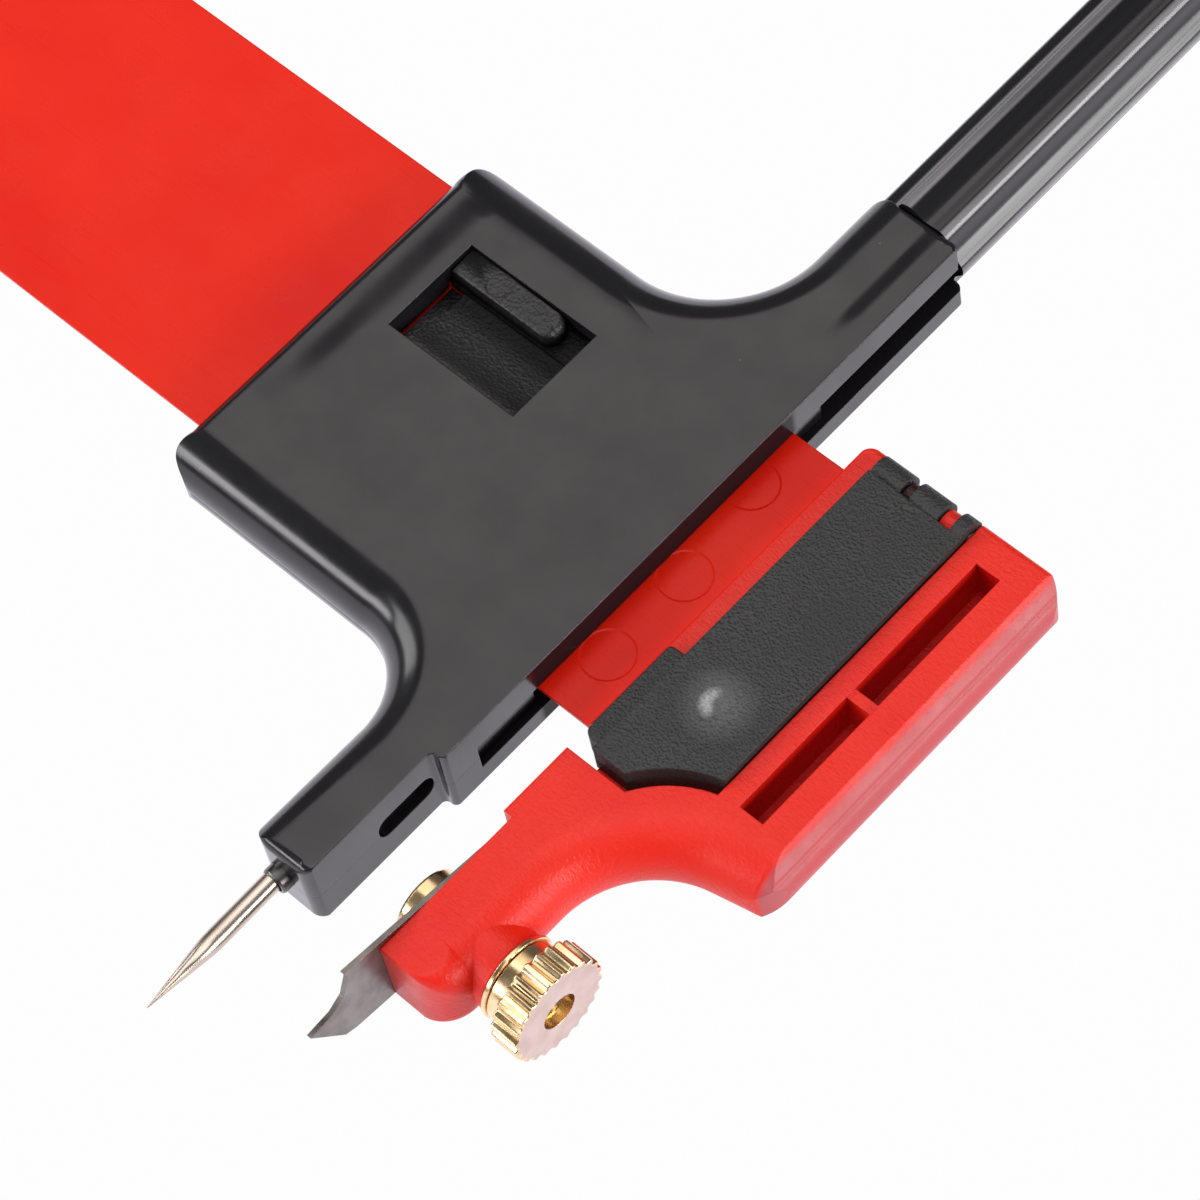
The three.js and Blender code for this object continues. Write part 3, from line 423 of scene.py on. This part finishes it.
leaf_near, leaf_far, leaf_back = 7.2, 9.5, 10.45
inner_edge, nose, outer_edge = (0.3, 0.25), (0.9, 1.0), (0.15, 0.2)
leaf = soft_plate("lock_leaf_bar", [
    (-24.0, leaf_near, 0, (0, 0), inner_edge), (-14, leaf_near, 1.0, inner_edge, nose),
    (-14, leaf_far, 1.0, nose, outer_edge), (-24.0, leaf_far, 0, outer_edge, (0, 0)),
], 4.7, 6.95)
carve(leaf, block("under the leaf", -29, -10, 6, 11, 4, lock_floor))
carve(leaf, block("root", -27.55, -21.93, leaf_near, leaf_back, lock_floor, shoulder), "UNION")
carve(leaf, block("foot", -24.1, -11.52, 6.95, leaf_back, lock_floor, 5.35), "UNION")
mark = rod("ejector mark", 1.05, 6.87, 8, "X", (0, 0))
mark.data.transform(Matrix.Translation((-20.2 * MM, 8.43 * MM, 0)) @ Matrix.Rotation(-math.pi / 2, 4, "Y"))
carve(leaf, mark)
dress(leaf, matt.material, "body", "black_grain", "lock_leaf")

soft_black = Look("pad_rubber", (0.012, 0.012, 0.012), 0.8)
soft_black.bump(soft_black.noise(0.2, 3), 0.03)
soft_black.roughen(0.7, 0.9, 1.5, 2)
keep("brake_pad", soft_black.material, 0.1)

# Needle: a ground steel point in a dark steel holder that is moulded into the needle
# arm; its short collar shows below the arm. The taper keeps its grinding marks.
needle_steel = Look("needle_steel", (0.60, 0.55, 0.49), 0.22, 1.0, edge=0.03)
_, ny, _ = needle_steel.axes()
grinding = needle_steel.noise(0.7, 1, ways=(1, 0.22, 1))
needle_steel.bump(needle_steel.within(grinding, needle_steel.eased(ny, -41.6, -43)), 0.10)
needle_steel.bump(needle_steel.noise(0.15, 2, ways=(1, 0.02, 1)), 0.0005)
needle_steel.roughen(0.20, 0.34, 1.6, 3, ways=(1, 0.1, 1))
stain = needle_steel.spread(needle_steel.noise(1.6, 4, ways=(1, 0.3, 1)), 0.5, 0.75)
needle_steel.paint(Base_Color=needle_steel.tint(stain, (0.50, 0.43, 0.36), (0.34, 0.27, 0.22)))
tip, shank, needle_root = -48.7, 0.8, -25.25
needle = turned("needle_point", [
    (0, tip), (0.04, -48.6), (0.11, -48.1), (0.19, -47.5), (0.47, -45.2), (0.66, -43.7), (0.765, -42.7),
    (shank, -41.8), (shank, needle_root), (0, needle_root),
], sides=48)
lean = Matrix.Translation((0, tip * MM, 0)) @ Matrix.Rotation(math.radians(0.9), 4, "Z")
needle.data.transform(lean @ Matrix.Translation((0, -tip * MM, 0)))
dress(needle, needle_steel.material, "body", "needle_steel", "needle", angle=50)

dark_steel = Look("plain_steel", (0.12, 0.115, 0.11), 0.3, 1.0, edge=0.05)
dark_steel.bump(dark_steel.noise(0.12, 2, ways=(1, 0.2, 1)), 0.006)
dark_steel.roughen(0.24, 0.42, 1.2, 3)
sleeve_bore, sleeve_end, collar_radius, sleeve_radius = 0.82, -36.25, 1.1, 1.75
holder = turned("needle_holder_sleeve", [
    (sleeve_bore, sleeve_end), (1.0, sleeve_end), (collar_radius, -36.1), (collar_radius, -34.85),
    (sleeve_radius, -34.85), (sleeve_radius, -24.25), (0, -24.25), (0, -25.23), (sleeve_bore, -25.23),
    (sleeve_bore, sleeve_end),
], sides=64)
dress(holder, dark_steel.material, "body", "plain_steel", "needle_holder")

# Handle: a glossy black extruded tube with seven flutes and a pressed-in end cap,
# turning on a steel spindle that a washer and a spring clip hold in the tube.
handle_black = Look("handle_black", (0.013, 0.012, 0.014), 0.2, edge=0.05)
handle_black.bump(handle_black.noise(0.22, 3, ways=(1, 0.012, 1)), 0.004)
hx, hy, hz = handle_black.axes()
# Painted highlight: the tops of the tube's ridges are painted light grey in streaks, for the light they
# catch; the end cap is left out.
above = handle_black.sum("SUBTRACT", hz, axis_height * MM)
squared = handle_black.sum("ADD", handle_black.within(hx, hx), handle_black.within(above, above))
on_ridge = handle_black.eased(handle_black.sum("SQRT", squared), 4.09, 4.165)
on_tube = handle_black.eased(hy, 83.15, 83.05)
highlight_streaks = handle_black.spread(handle_black.noise(2, 3, ways=(1, 0.1, 1)), 0.3, 0.6, 0.5, 1)
painted_ridge_highlight = handle_black.within(on_ridge, on_tube, highlight_streaks)
handle_black.paint(Base_Color=handle_black.tint(painted_ridge_highlight, gloss_black, (0.22, 0.21, 0.225)))
handle_black.bump(handle_black.noise(3, 1, ways=(1, 0.1, 1)), 0.02)
handle_black.roughen(0.14, 0.28, 0.5, 3, ways=(1, 0.03, 1))
tube_start, tube_end, tube_radius = 32.04, 83.15, 4.17
flutes, flute_depth, ridge_share, crown_height, first_ridge = 7, 0.5, 0.3, 0.1, 0.923
ring = []
for flute in range(flutes):
    for step in range(40):
        share = step / 40
        across = max(0, (share - ridge_share) / (1 - ridge_share))
        middle = ridge_share / 2
        crown = crown_height * min(1, abs(share - middle) / middle) ** 2
        radius = tube_radius - crown - flute_depth * math.sin(math.pi * across)
        angle = first_ridge + 2 * math.pi / flutes * (flute + share - middle)
        ring.append((radius * math.cos(angle), -radius * math.sin(angle), 0))
along_handle = Matrix.Translation((0, 0, axis_height * MM)) @ Matrix.Rotation(-math.pi / 2, 4, "X")
grip = soft_plate("handle_tube", ring[::-1], tube_start, tube_end, turn=along_handle)
carve(grip, rod("tube bore", 1.3, 30, 84))
carve(grip, rod("clip space", 2.9, 71, 84))
dress(grip, handle_black.material, "handle", "handle_black", "handle_grip", angle=20)
cap = turned("handle_cap", [
    (0, 78.65), (2.88, 78.65), (2.88, tube_end), (tube_radius, tube_end), (tube_radius, 84.65),
    (4.12, 84.95), (3.97, 85.24), (3.74, 85.45), (3.4, 85.55), (0, 85.55),
])
dress(cap, handle_black.material, "handle", "handle_black", "handle_end_cap")
keep("spindle", dark_steel.material, 0.08)
keep("spindle_washer", dark_steel.material, 0.06)
keep("spindle_clip", dark_steel.material, 0.06)

# Ruler arm: one bright red styrene moulding. The thin beam carries round ejector
# marks; the block and its neck have a wavy grain, two open pockets and a blade store.
def distance_from(look, x, y, z):
    node = look.add("ShaderNodeVectorMath", Vector=look.place)
    node.operation = "DISTANCE"
    node.inputs[1].default_value = (x * MM, y * MM, z * MM)
    return node.outputs["Value"]


def post(name, radius, x, y, low, high):
    turns = [a * math.pi / 60 for a in range(120)]
    return soft_plate(name, [
        (x + radius * math.cos(a), y + radius * math.sin(a), 0) for a in turns
    ], low, high)


beam_low, beam_top, beam_half, block_top = 1.96, 4.61, 13.5, 5.31
red = Look("arm_red", (0.80, 0.016, 0.005), 0.30, edge=0.15)
px, py, pz = red.axes()
on_block = red.spread(px, 9.2 * MM, 9.6 * MM)
wrinkle = red.noise(0.42, 3, ways=(1, 1.7, 1), turn=0.5, twist=0.6)
red.bump(red.within(wrinkle, on_block, red.eased(px, 26.5, 26.2)), 0.06)
red.bump(red.noise(0.28, 2), 0.003)
red.bump(red.noise(9, 2), 0.05)
scuff = red.noise(0.22, 2, ways=(0.03, 1, 1), turn=0.05)
red.bump(red.spread(scuff, 0.58, 0.75), 0.009)
ejector_marks = (4.73, 8.36), (6.08, -0.25), (6.2, -8.44)
discs = [red.spread(distance_from(red, x, y, beam_top), 2.0 * MM, 2.16 * MM) for x, y in ejector_marks]
red.bump(red.within(*discs), 0.06)
sheen = red.spread(red.noise(4, 4, rough=0.6), 0.3, 0.7, 0.24, 0.38)
red.paint(Roughness=red.sum("ADD", sheen, red.within(on_block, 0.12)))
red.paint(Specular_IOR_Level=red.spread(on_block, 0, 1, 0.16, 0.36))
tone = red.tint(red.spread(red.noise(12, 3), 0.3, 0.7), (0.82, 0.020, 0.005), (0.74, 0.012, 0.003))
# Painted shade: the open gap between the hinge knuckles is painted near-black.
painted_shade_in_gap = red.within(red.eased(px, 13.9, 14.05), red.eased(px, 14.95, 14.8), red.eased(py, 12.7, 13.0))
# Painted shade: inside the two open pockets the red is painted darker.
along_pocket = red.size_of(red.sum("SUBTRACT", py, 0.85 * MM))
painted_shade_in_pocket = red.within(
    red.eased(px, 21.70, 21.76), red.eased(px, 23.96, 23.90), red.eased(pz, 5.29, 5.18),
    red.eased(along_pocket, 12.7, 12.5), red.eased(red.size_of(py), 0.45, 0.5),
)
# Painted reflection: the right side of the block is painted pale pink, in patches, for the glare it catches.
painted_glare_on_side = red.within(red.eased(px, 26.35, 26.9), red.spread(red.noise(3, 3), 0.2, 0.8, 0.75, 1))
tone = red.tint(painted_shade_in_gap, tone, (0.03, 0.002, 0.002))
tone = red.tint(painted_shade_in_pocket, tone, (0.50, 0.003, 0.001))
red.paint(Base_Color=red.tint(painted_glare_on_side, tone, (0.46, 0.08, 0.09)))

block_left, block_right, block_head, neck_foot, neck_right = 9.25, 26.2, 16.17, -35.5, 16.3
sweep_centre, clamp, hinge = (22.5, -20.5), (-30, 1.76), (14.7, 4.9)
under, over, pin_space = -3, 6.5, 0.62
top, rim, neck, sweep = (0.6, 0.6), (0.15, 0.15), (3.3, 3.4), (4.1, 3.4)
arm = soft_plate("ruler_arm_moulding", [
    (34, block_head, 0, top), (block_left, block_head, 1, top, rim), (block_left, neck_foot, 0, rim),
    (neck_right, neck_foot, 3.3, rim, neck), (neck_right, -17.85, 8.2, neck, sweep), (34, -14.15, 0, sweep),
], -1.79, block_top, edge_steps=16)
bulge, line_depth, line_height = 1.8, 0.10, 4.1
side = []
for step in range(1, 54):
    z = block_top * step / 54
    mould_line = line_depth * math.exp(-((z - line_height) / 0.14) ** 2)
    side.append((block_right + bulge * math.sin(math.pi * z / block_top) ** 0.9 - mould_line, z, 0))
right_side = [(-56, 6.3, 0), (-56, -2.8, 0), (block_right, -2.8, 0), (block_right, 0, 0), *side,
              (block_right, block_top, 0), (block_right, 6.3, 0)]
across_arm = Matrix.Rotation(math.pi / 2, 4, "X")
carve(arm, soft_plate("right side", right_side, -17.2, 36.1, turn=across_arm), "INTERSECT")
for radius, x, y, reach, low, high in (
    (2.5, 25.5, 13.67, 25.5, 13.67, 16.6), (3.4, 24.6, -12.64, 25.3, -17, -12.64),
):
    rest = block("past the corner", reach, 29, low, high, under, over)
    carve(rest, post("corner round", radius, x, y, -4, 7.5))
    carve(arm, rest)
boss = [(0, 13), (3.2, 13), (3.2, 16.95), (3.07, 17.08), (0, 17.08)]
carve(arm, turned("boss", boss, "X", clamp), "UNION")
for cut in (
    ("notch", 8.25, 11.3, -15.85, -13.5, under, over),
    ("neck side", 8.25, 9.3, -22.3, -15.85, under, over),
    ("blade seat", 8.25, 10.1, -36.1, -22.3, under, over),
    ("block back", 8.25, 29, -17.5, 17.2, under, 0),
):
    carve(arm, block(*cut))
tail, beam_end, bevel_start, bevel_foot = -88, 10.25, 4.31, 12.3
beam = soft_plate("beam", [
    (tail, -beam_half, 2), (beam_end, -beam_half, 0), (beam_end, beam_half, 0), (tail, beam_half, 2),
], beam_low, beam_top)
bevels = [(-bevel_foot, beam_low, 0), (bevel_foot, beam_low, 0), (beam_half, bevel_start, 0),
          (beam_half, 5.61, 0), (-beam_half, 5.61, 0), (-beam_half, bevel_start, 0)]
carve(beam, soft_plate("bevels", bevels, -89, 11.25, turn=along_arm), "INTERSECT")
carve(beam, block("stop ridge", tail, -86.8, -6, 6, 1.26, 1.98), "UNION")
carve(arm, beam, "UNION")
carve(arm, rod("clamp hole", 1.55, 9, 18.1, "X", clamp))
pockets = block("open pockets", 21.74, 23.92, -11.6, 13.3, 1.3, over)
carve(arm, carve(pockets, block("rib", 21, 24.5, -0.45, 0.45, 0.5, 5.11)))
lid_pocket = block("lid pocket", 11.05, 20, -15.85, 17.2, 3.35, over)
carve(arm, carve(lid_pocket, post("pocket end", 8.95, *sweep_centre, 3, 7)))
carve(arm, block("blade store", 11.5, 19.7, -8.9, 12.7, 0.9, 3.5))
for left, right in ((14.088, 14.739), (17.643, 18.64)):
    knuckle = rod("knuckle", 1.02, left, right, "X", hinge, 48)
    carve(knuckle, block("knuckle foot", left, right, 13.7, 15.7, 3.33, 4.9), "UNION")
    carve(arm, knuckle, "UNION")
carve(arm, rod("hinge hole", pin_space, 11.03, 20.02, "X", hinge, 48))
dress(arm, red.material, "arm", "arm_red", "ruler_arm", angle=24)

# Blade store lid: matt black with a fine pebble grain, hinged at its top end on a
# steel pin. A thumb dimple and a fingernail ledge open it; one side of the dimple
# carries a painted whitish highlight.
lid_left, lid_right, lid_floor, foot_low, hinge_end = 11.2, 19.85, 3.5, 3.502, 15.1
lid = soft_plate("store_lid_plate", [
    (lid_left, lid_floor, 0), (lid_right, lid_floor, 0), (lid_right, 6.01, 0), (lid_left, 6.41, 0),
], -13.86, hinge_end, turn=across_arm)
carve(lid, post("lid end", 9.85, *sweep_centre, 3, 8))
ledge_left, ledge_right, ledge_near, ledge_far = 9.6, 12.2, -14.4, -5.4
soft, sharp = (0.25, 0.2), (0, 0)
carve(lid, soft_plate("ledge", [
    (ledge_left, ledge_near, 1.1, soft), (ledge_right, ledge_near, 0, sharp),
    (ledge_right, ledge_far, 0, sharp), (ledge_left, ledge_far, 0.4, soft),
], 4.76, 5.96), "UNION")
carve(lid, block("under the ledge", 9, 11.1, -15, -5, 4.7, 5.36))
carve(lid, soft_plate("ledge foot", [
    (ledge_left, ledge_near, 0.7), (ledge_right, ledge_near, 0),
    (ledge_right, -13.65, 0), (ledge_left, -13.65, 0),
], foot_low, 5.7), "UNION")
carve(lid, block("lid hollow", ledge_right, 18.85, ledge_far, 11.86, 2.5, 5.01))
bpy.ops.mesh.primitive_uv_sphere_add(
    segments=96, ring_count=96, radius=14 * MM, location=(15.3 * MM, -6.9 * MM, 20.08 * MM),
)
dimple = bpy.context.object
dimple.data.transform(dimple.matrix_world)
dimple.matrix_world = Matrix.Identity(4)
carve(lid, dimple)
gaps = (13.968, 14.859), (17.523, 18.76)
for left, right in gaps:
    carve(lid, block("knuckle gap", left, right, 13.15, 16.25, 2.5, 5.1))
for left, right in ((lid_left, gaps[0][0]), (gaps[0][1], gaps[1][0]), (gaps[1][1], lid_right)):
    knuckle = rod("lid knuckle", 1.4, left, right, "X", hinge, 48)
    carve(knuckle, block("knuckle root", left, right, 12.86, hinge[0], foot_low, 5.9), "UNION")
    carve(lid, knuckle, "UNION")
for left, right in gaps:
    carve(lid, block("open end", left, right, 14.65, 16.25, 2.5, 6.6))
    carve(lid, rod("knuckle space", 1.12, left, right, "X", hinge, 48))
carve(lid, rod("hinge hole", pin_space, 10.2, 21, "X", hinge, 48))
pebble_black = (0.023, 0.022, 0.022)
pebble = Look("black_pebble", pebble_black, 0.46, edge=0.2)
pebble.bump(pebble.cells(0.2, feature="SMOOTH_F1"), 0.10)
pebble.bump(pebble.noise(0.12, 2), 0.012)
lx, ly, _ = pebble.axes()
# Painted highlight: a pale crescent on one side of the thumb dimple and a soft bloom around it, broken into
# patches.
highlight_x, highlight_y, highlight_radius = 15.6, -6.9, 0.9
away = distance_from(pebble, highlight_x, highlight_y, 6.1)
beside, beyond = pebble.sum("SUBTRACT", lx, highlight_x * MM), pebble.sum("SUBTRACT", ly, highlight_y * MM)
around = pebble.sum("ARCTAN2", beyond, beside)
side_on = pebble.spread(pebble.sum("COSINE", pebble.sum("SUBTRACT", around, 3.5)), -0.2, 0.9)
band = pebble.size_of(pebble.sum("SUBTRACT", away, highlight_radius * MM))
highlight_crescent = pebble.within(pebble.spread(band, 0.15 * MM, 0.75 * MM, 1, 0), side_on)
highlight_bloom = pebble.spread(away, 0.5 * MM, 3.2 * MM, 0.22, 0)
patches = pebble.spread(pebble.noise(0.25, 3), 0.25, 0.75, 0.5, 1.1)
painted_highlight = pebble.within(pebble.sum("MAXIMUM", highlight_crescent, highlight_bloom), patches)
pebble.paint(Base_Color=pebble.tint(painted_highlight, pebble_black, (0.42, 0.42, 0.42)))
pebble.roughen(0.44, 0.6, 5, 3)
dress(lid, pebble.material, "store_lid", "black_grain", "blade_store_lid")
keep("lid_hinge_pin", dark_steel.material, 0.08)

# Blades: thin grey tool steel with an open notch for the clamp bolt, a hook at the
# back and a slanted point. One is clamped on the neck, five lie in the store.
blade_steel = Look("blade_steel", (0.20, 0.18, 0.17), 0.3, 1.0, edge=0.04)
blade_steel.bump(blade_steel.noise(0.1, 3, ways=(1, 1, 0.08)), 0.006)
blade_steel.roughen(0.28, 0.45, 1.5, 4)
patina = blade_steel.spread(blade_steel.noise(2.5, 4), 0.4, 0.7)
blade_steel.paint(Base_Color=blade_steel.tint(patina, (0.22, 0.20, 0.185), (0.13, 0.11, 0.10)))
notch_radius, blade_end, blade_left, blade_right = 1.55, 6.9, -4.203, 3.397
blade_wide, point_length = 7.6, 12.84
turns = [a * math.pi / 24 for a in range(25)]
notch = [(-notch_radius * math.cos(a), -notch_radius * math.sin(a), 0) for a in turns]
shape = [(0, 0.68), (0.03, 0.76), (0.459, 1), (0.532, 0.832), (0.662, 0.743), (0.918, 0.699), (1, 0.724)]
point = [(blade_left + across * blade_wide, -along * point_length, 0) for across, along in shape]
edge = [
    (-notch_radius, blade_end, 0), (-3, blade_end, 0), (blade_left, 0, 0), *point,
    (blade_right, blade_end, 0), (notch_radius, blade_end, 0), *notch[::-1],
]
seat = Matrix.Translation((10.08 * MM, clamp[0] * MM, clamp[1] * MM))
seat = seat @ Matrix.Rotation(math.radians(-8.5), 4, "X") @ Matrix.Rotation(-math.pi / 2, 4, "Y")
blade = soft_plate("blade_in_use", edge, 0, 0.4, turn=seat)
dress(blade, blade_steel.material, "arm", "blade_steel", "blade")
for number in range(1, 6):
    keep(f"spare_blade_{number}", blade_steel.material, 0.03)

# Clamp: a brass bolt through the neck with its flat head on the blade, a washer and
# a coarsely knurled brass nut with a turned collar and a satin face.
brass = Look("clamp_brass", (0.78, 0.54, 0.24), 0.2, 1.0, edge=0.08)
brass.bump(brass.noise(0.25, 3), 0.004)
brass.roughen(0.14, 0.3, 1.2, 3)
tarnish = brass.spread(brass.noise(1.8, 3), 0.35, 0.7)
brass.paint(Base_Color=brass.tint(tarnish, (0.85, 0.65, 0.38), (0.70, 0.49, 0.25)))
head_radius, shank_radius = 2.9, 1.45
bolt = turned("clamp_bolt_turned", [
    (0, 8.3), (2.6, 8.3), (2.8, 8.37), (head_radius, 8.55), (head_radius, 9.66), (shank_radius, 9.66),
    (shank_radius, 20.3), (1.3, 20.45), (0, 20.45),
], "X", clamp)
dress(bolt, brass.material, "bolt", "clamp_brass", "clamp_bolt")
bore, washer_radius, washer_left, washer_right = 1.5, 3.45, 17.1, 17.5
washer = turned("clamp_washer_turned", [
    (bore, washer_left), (3.38, washer_left), (washer_radius, 17.17), (washer_radius, 17.43),
    (3.38, washer_right), (bore, washer_right), (bore, washer_left),
], "X", clamp)
dress(washer, brass.material, "arm", "clamp_brass", "clamp_washer")
face_brass = Look("clamp_brass_face", (0.60, 0.46, 0.41), 0.36, 1.0, edge=0.1)
face_brass.bump(face_brass.noise(0.16, 3), 0.006)
face_brass.roughen(0.3, 0.45, 1.0, 3)
dull = face_brass.spread(face_brass.noise(1.6, 4), 0.35, 0.7)
face_brass.paint(Base_Color=face_brass.tint(dull, (0.63, 0.49, 0.44), (0.54, 0.40, 0.33)))
knurls, knurl_steps, knurl_radius, knurl_depth = 24, 10, 4.15, 0.15
knurl = []
for index in range(knurls * knurl_steps):
    wave = math.cos(2 * math.pi * index / knurl_steps)
    radius = knurl_radius + knurl_depth * max(-1, min(1, 1.7 * wave))
    angle = 2 * math.pi * index / (knurls * knurl_steps)
    knurl.append((radius * math.cos(angle), radius * math.sin(angle), 0, (0.16, 0.16)))
on_clamp = Matrix.Translation((0, clamp[0] * MM, clamp[1] * MM)) @ Matrix.Rotation(math.pi / 2, 4, "Y")
nut = soft_plate("clamp_nut_knurl", knurl, 18.85, 21.35, edge_steps=4, turn=on_clamp)
collar = [(0, 17.52), (3.2, 17.52), (3.3, 17.62), (3.3, 19.5), (0, 19.5)]
carve(nut, turned("collar", collar, "X", clamp), "UNION")
carve(nut, rod("nut hole", bore, 16, 22, "X", clamp))
dress(nut, brass.material, "nut", "clamp_brass", "clamp_nut")
nut.data.materials.append(face_brass.material)
for face in nut.data.polygons:
    if face.normal.x > 0.9 and face.center.x > 21 * MM:
        face.material_index = 1

# Table and light: a plain white surface, a wide soft light above it and a low one on
# the left. A strip on the right, a card high up, and a card and a strip in front are
# there for the gloss, the rounded edges and the brass to mirror.
table_height, table_reach = -0.00262, 2
floor = bpy.data.objects.new("table", bpy.data.meshes.new("table"))
floor.data.from_pydata([
    (-table_reach, -table_reach, table_height), (table_reach, -table_reach, table_height),
    (table_reach, table_reach, table_height), (-table_reach, table_reach, table_height),
], [], [(0, 1, 2, 3)])
bpy.context.scene.collection.objects.link(floor)
white = Look("table_white", (0.82, 0.82, 0.83), 0.9)
path = white.add("ShaderNodeLightPath")
paper_white = 0.985
glow = white.add("ShaderNodeEmission", Color=(1, 1, 1, 1), Strength=paper_white)
mirrored = white.add("ShaderNodeEmission", Color=(0.95, 0.92, 1, 1), Strength=1.4)
first = white.add("ShaderNodeMixShader", Fac=path.outputs["Is Camera Ray"])
both = white.add("ShaderNodeMixShader", Fac=path.outputs["Is Glossy Ray"])
white.tree.links.new(white.shader.outputs[0], first.inputs[1])
white.tree.links.new(glow.outputs[0], first.inputs[2])
white.tree.links.new(first.outputs[0], both.inputs[1])
white.tree.links.new(mirrored.outputs[0], both.inputs[2])
white.tree.links.new(both.outputs[0], white.tree.nodes["Material Output"].inputs["Surface"])
floor.data.materials.append(white.material)
floor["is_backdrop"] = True

world = bpy.data.worlds.new("studio")
bpy.context.scene.world = world
world.use_nodes = True
sky = world.node_tree
sky_path = sky.nodes.new("ShaderNodeLightPath")
sky_mix = sky.nodes.new("ShaderNodeMixShader")
room = sky.nodes["Background"]
room.inputs["Color"].default_value = (1, 1, 1, 1)
room.inputs["Strength"].default_value = 0.13
seen = sky.nodes.new("ShaderNodeBackground")
seen.inputs["Color"].default_value = (1, 1, 1, 1)
seen.inputs["Strength"].default_value = paper_white
sky.links.new(sky_path.outputs["Is Camera Ray"], sky_mix.inputs[0])
sky.links.new(room.outputs[0], sky_mix.inputs[1])
sky.links.new(seen.outputs[0], sky_mix.inputs[2])
sky.links.new(sky_mix.outputs[0], sky.nodes["World Output"].inputs[0])


def soft_light(name, way, distance, width, height, radiance, colour=(1, 1, 1)):
    lamp = bpy.data.lights.new(name, "AREA")
    lamp.shape = "RECTANGLE"
    lamp.size, lamp.size_y = width, height
    lamp.energy = radiance * math.pi * width * height
    lamp.color = colour
    stand = bpy.data.objects.new(name, lamp)
    way = Vector(way).normalized()
    stand.location = way * distance
    stand.rotation_mode = "QUATERNION"
    stand.rotation_quaternion = way.to_track_quat("Z", "Y")
    bpy.context.scene.collection.objects.link(stand)
    return stand


soft_light("key", (0.1, -0.1, 0.99), 0.6, 0.36, 0.6, 2.3)
soft_light("left key", (-0.82, -0.30, 0.48), 0.6, 0.26, 0.26, 4.5)
soft_light("side strip", (0.92, 0.28, 0.27), 0.6, 0.4, 0.24, 10)
soft_light("overhead card", (-0.44, 0.28, 0.85), 0.6, 0.34, 0.32, 1.6, (1, 0.92, 0.91))
soft_light("front card", (-0.42, -0.82, 0.38), 0.6, 0.5, 0.2, 0.8)
soft_light("front strip", (-0.42, -0.84, 0.36), 0.59, 0.5, 0.13, 7.5, (0.97, 0.95, 1))

# Camera: a long lens, high up and to the right of the blade end, looks down on the
# part as the photograph does, with the ruler arm running away to the left.
camera = bpy.data.objects.new("camera", bpy.data.cameras.new("camera"))
camera.data.sensor_width = 36
camera.data.lens = 138.28
camera.data.clip_start = 0.02
camera.data.clip_end = 10
right = Vector((0.72428396, 0.67900099, -0.11987661))
down = Vector((0.5496469, -0.67355062, -0.49418402))
ahead = Vector((-0.41629441, 0.29203975, -0.8610527))
facing = Matrix((right, -down, -ahead)).transposed().to_4x4()
camera.matrix_world = Matrix.Translation((0.13903, -0.10118, 0.28660)) @ facing
bpy.context.scene.collection.objects.link(camera)
bpy.context.scene.camera = camera
bpy.context.scene.view_settings.view_transform = "Standard"

low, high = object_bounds()
